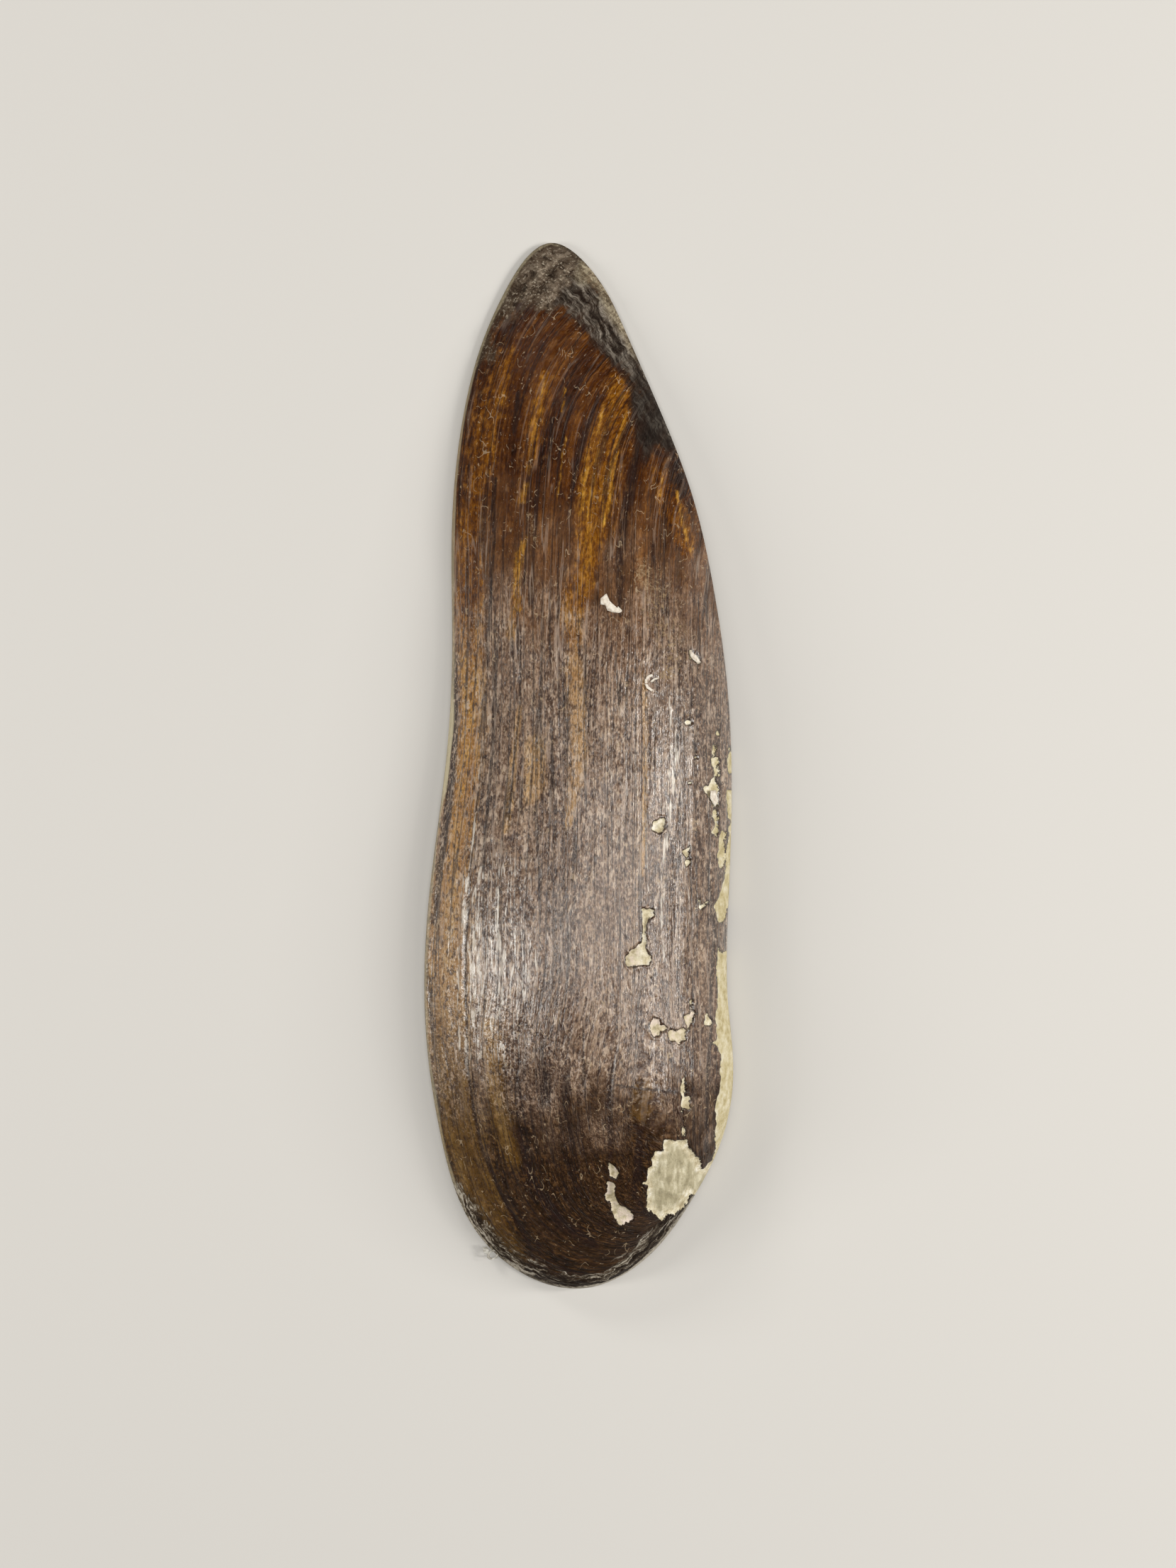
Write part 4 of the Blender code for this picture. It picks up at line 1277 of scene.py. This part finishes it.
def valve_material():
    """Brown horny skin with golden rays, bare chalk where it flaked, and nacre inside."""
    recipe = Recipe("valve_finish")
    skin = Skin(recipe)
    colour = bare_skin(skin)
    for layer in (rays, fine_wear, highlights_wear_and_dust, rear_tip, hem_and_rim, chalk, nacre):
        colour = layer(skin, colour)

    glossy = skin.whole * (1.0 - skin.covered.larger(skin.crusty).larger(skin.dusty))
    shine = skin.shifted.step(-46.0, -28.0, 0.15, 1.0) * skin.shifted.step(32.0, 12.0, 0.10, 1.0)
    gloss_height = skin.medium * 0.16 + skin.fine * 0.13 + skin.dashes * 0.05 + skin.cracks * -0.05
    return recipe.finish(
        Base_Color=colour, Roughness=surface_roughness(skin), Normal=surface_relief(skin),
        Coat_Weight=(glossy * shine).larger(skin.within * 0.8), Coat_Roughness=0.22,
        Coat_Normal=gloss_height.bump(MM, 1.0), Specular_IOR_Level=0.05)


def on_shell(x, y):
    """The place on the outer face that shows at a spot seen from above."""
    height = 10.0
    for _ in range(6):
        spread = 1.0 - height / CAMERA_HEIGHT
        true_x = CAMERA_PLACE[0] + (x - CAMERA_PLACE[0]) * spread
        true_y = CAMERA_PLACE[1] + (y - CAMERA_PLACE[1]) * spread
        height = RIM_HEIGHT + float(OUTSIDE.rise(np.array(true_x), np.array(true_y)))
    return true_x, true_y, height


def add_piece(name, builder, material):
    """Turns a finished bmesh into a piece that rides with the valve."""
    bmesh.ops.recalc_face_normals(builder, faces=builder.faces)
    mesh = finish_mesh(name, builder)
    mesh.shade_smooth()
    mesh.materials.append(material)
    piece = add_to_scene(name, mesh)
    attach(piece, "root")


def make_flake(name, corners, towards, lift, material):
    """A thin chip that lies on the skin and stands up at one side."""
    builder = bmesh.new()
    builder.faces.new([builder.verts.new((x, y, 0.0)) for x, y in corners])
    bmesh.ops.triangulate(builder, faces=builder.faces)
    bmesh.ops.subdivide_edges(builder, edges=builder.edges, cuts=2, use_grid_fill=True)
    reach = [v.co.x * towards[0] + v.co.y * towards[1] for v in builder.verts]
    low, high = min(reach), max(reach)
    for vertex, far in zip(builder.verts, reach):
        up = (far - low) / (high - low)
        ruffle = FLAKE_RUFFLE[0] * noise.noise(vertex.co * FLAKE_RUFFLE[1])
        x, y, z = on_shell(vertex.co.x, vertex.co.y)
        vertex.co = Vector((x, y, z + FLAKE_CLEARANCE + lift * up**1.6 + ruffle * (0.3 + up))) * MM
    bmesh.ops.solidify(builder, geom=builder.faces, thickness=FLAKE_THICKNESS * MM)
    add_piece(name, builder, material)


def make_curl(material):
    """The curl of dried film at the front edge: a ring pulled out of round."""
    builder = bmesh.new()
    circle = bmesh.ops.create_circle(builder, segments=CURL_SIDES, radius=CURL_THICKNESS)
    bmesh.ops.rotate(builder, verts=circle["verts"], cent=(0.0, 0.0, 0.0),
                     matrix=Matrix.Rotation(0.5 * math.pi, 3, "X"))
    bmesh.ops.translate(builder, verts=circle["verts"], vec=(CURL_RADIUS, 0.0, 0.0))
    bmesh.ops.spin(builder, geom=builder.verts[:] + builder.edges[:], cent=(0.0, 0.0, 0.0),
                   axis=(0.0, 0.0, 1.0), angle=math.tau, steps=CURL_STEPS, use_merge=True)
    bmesh.ops.remove_doubles(builder, verts=builder.verts, dist=0.001)
    foot = Vector(on_shell(*CURL_PLACE)) + Vector((0.0, 0.0, CURL_LIFT))
    turned = Matrix.Rotation(CURL_TURN, 3, "Z") @ Matrix.Rotation(CURL_TILT, 3, "Y")
    wide, deep, high = CURL_SHAPE
    for vertex in builder.verts:
        x, y, z = vertex.co
        wave = CURL_WAVE[0] * noise.noise(vertex.co * CURL_WAVE[1])
        vertex.co = (turned @ Vector((x * (wide + wave), y * deep, z * high + wave)) + foot) * MM
    add_piece("film_curl", builder, material)


def chip_material():
    """White and cream chalk chips, mottled by powdery grain."""
    recipe = Recipe("chip_finish")
    powder = recipe.spot().grain(2200.0, 4.0, 0.65)
    cream = powder.ramp((0.34, (0.50, 0.42, 0.34)), (0.5, (0.70, 0.64, 0.55)), (0.66, (0.82, 0.78, 0.70)))
    return recipe.finish(Base_Color=cream, Roughness=0.7, Normal=powder.bump(BIT_GRAIN, 0.6))


def film_material():
    """Pale, half clear dried film."""
    recipe = Recipe("film_finish")
    cloud = recipe.spot().grain(1800.0, 3.0, 0.6)
    pale = cloud.ramp((0.38, (0.36, 0.34, 0.29)), (0.62, (0.78, 0.77, 0.72)))
    return recipe.finish(Base_Color=pale, Roughness=0.28, Normal=cloud.bump(BIT_GRAIN, 0.5))


def make_loose_bits():
    """Chips of chalk and scraps of dried film that lie on the skin."""
    chips, film = chip_material(), film_material()
    for name, (corners, towards, lift) in FLAKES.items():
        finish, slot = (film, "dried_film") if name.startswith("film") else (chips, "chalk")
        make_flake(name, corners, towards, lift, finish)
    make_curl(film)


def make_floor():
    """A plain pale sheet under the valve."""
    builder = bmesh.new()
    bmesh.ops.create_grid(builder, x_segments=1, y_segments=1, size=FLOOR_REACH)
    bmesh.ops.translate(builder, verts=builder.verts, vec=(0.0, 0.0, -FLOOR_DROP))
    mesh = finish_mesh("floor", builder)
    mesh.materials.append(Recipe("floor_paper").finish(Base_Color=FLOOR_PAPER, Roughness=0.85))
    add_to_scene("floor", mesh)


def make_light(name, place, size, power):
    """A rectangular soft light that faces the valve."""
    data = bpy.data.lights.new(name, "AREA")
    data.shape = "RECTANGLE"
    data.size, data.size_y = size
    data.energy = power
    data.color = LIGHT_COLOUR
    light = add_to_scene(name, data)
    light.location = place
    aim = Vector(LIGHT_TARGET) - Vector(place)
    light.rotation_euler = aim.to_track_quat("-Z", "Y").to_euler()


def make_studio():
    """Soft lights and a faint warm glow of the room."""
    world = bpy.data.worlds.new("studio")
    world.use_nodes = True
    background = world.node_tree.nodes["Background"]
    background.inputs[0].default_value = ROOM_COLOUR
    background.inputs[1].default_value = ROOM_STRENGTH
    bpy.context.scene.world = world
    for name, (place, size, power) in LIGHTS.items():
        make_light(name, place, size, power)
    bpy.context.scene.view_settings.view_transform = "Standard"


def make_camera():
    """Straight above the valve, framed as in the photograph."""
    data = bpy.data.cameras.new("camera")
    data.sensor_fit = "VERTICAL"
    data.sensor_height = SENSOR
    data.lens = SENSOR * CAMERA_HEIGHT / FRAME_HEIGHT
    camera = add_to_scene("camera", data)
    camera.location = Vector((*CAMERA_PLACE, CAMERA_HEIGHT)) * MM
    bpy.context.scene.camera = camera


valve = make_valve()
valve.data.materials.append(valve_material())
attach(valve, "root")
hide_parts("shell_valve")
make_loose_bits()
make_floor()
make_studio()
make_camera()
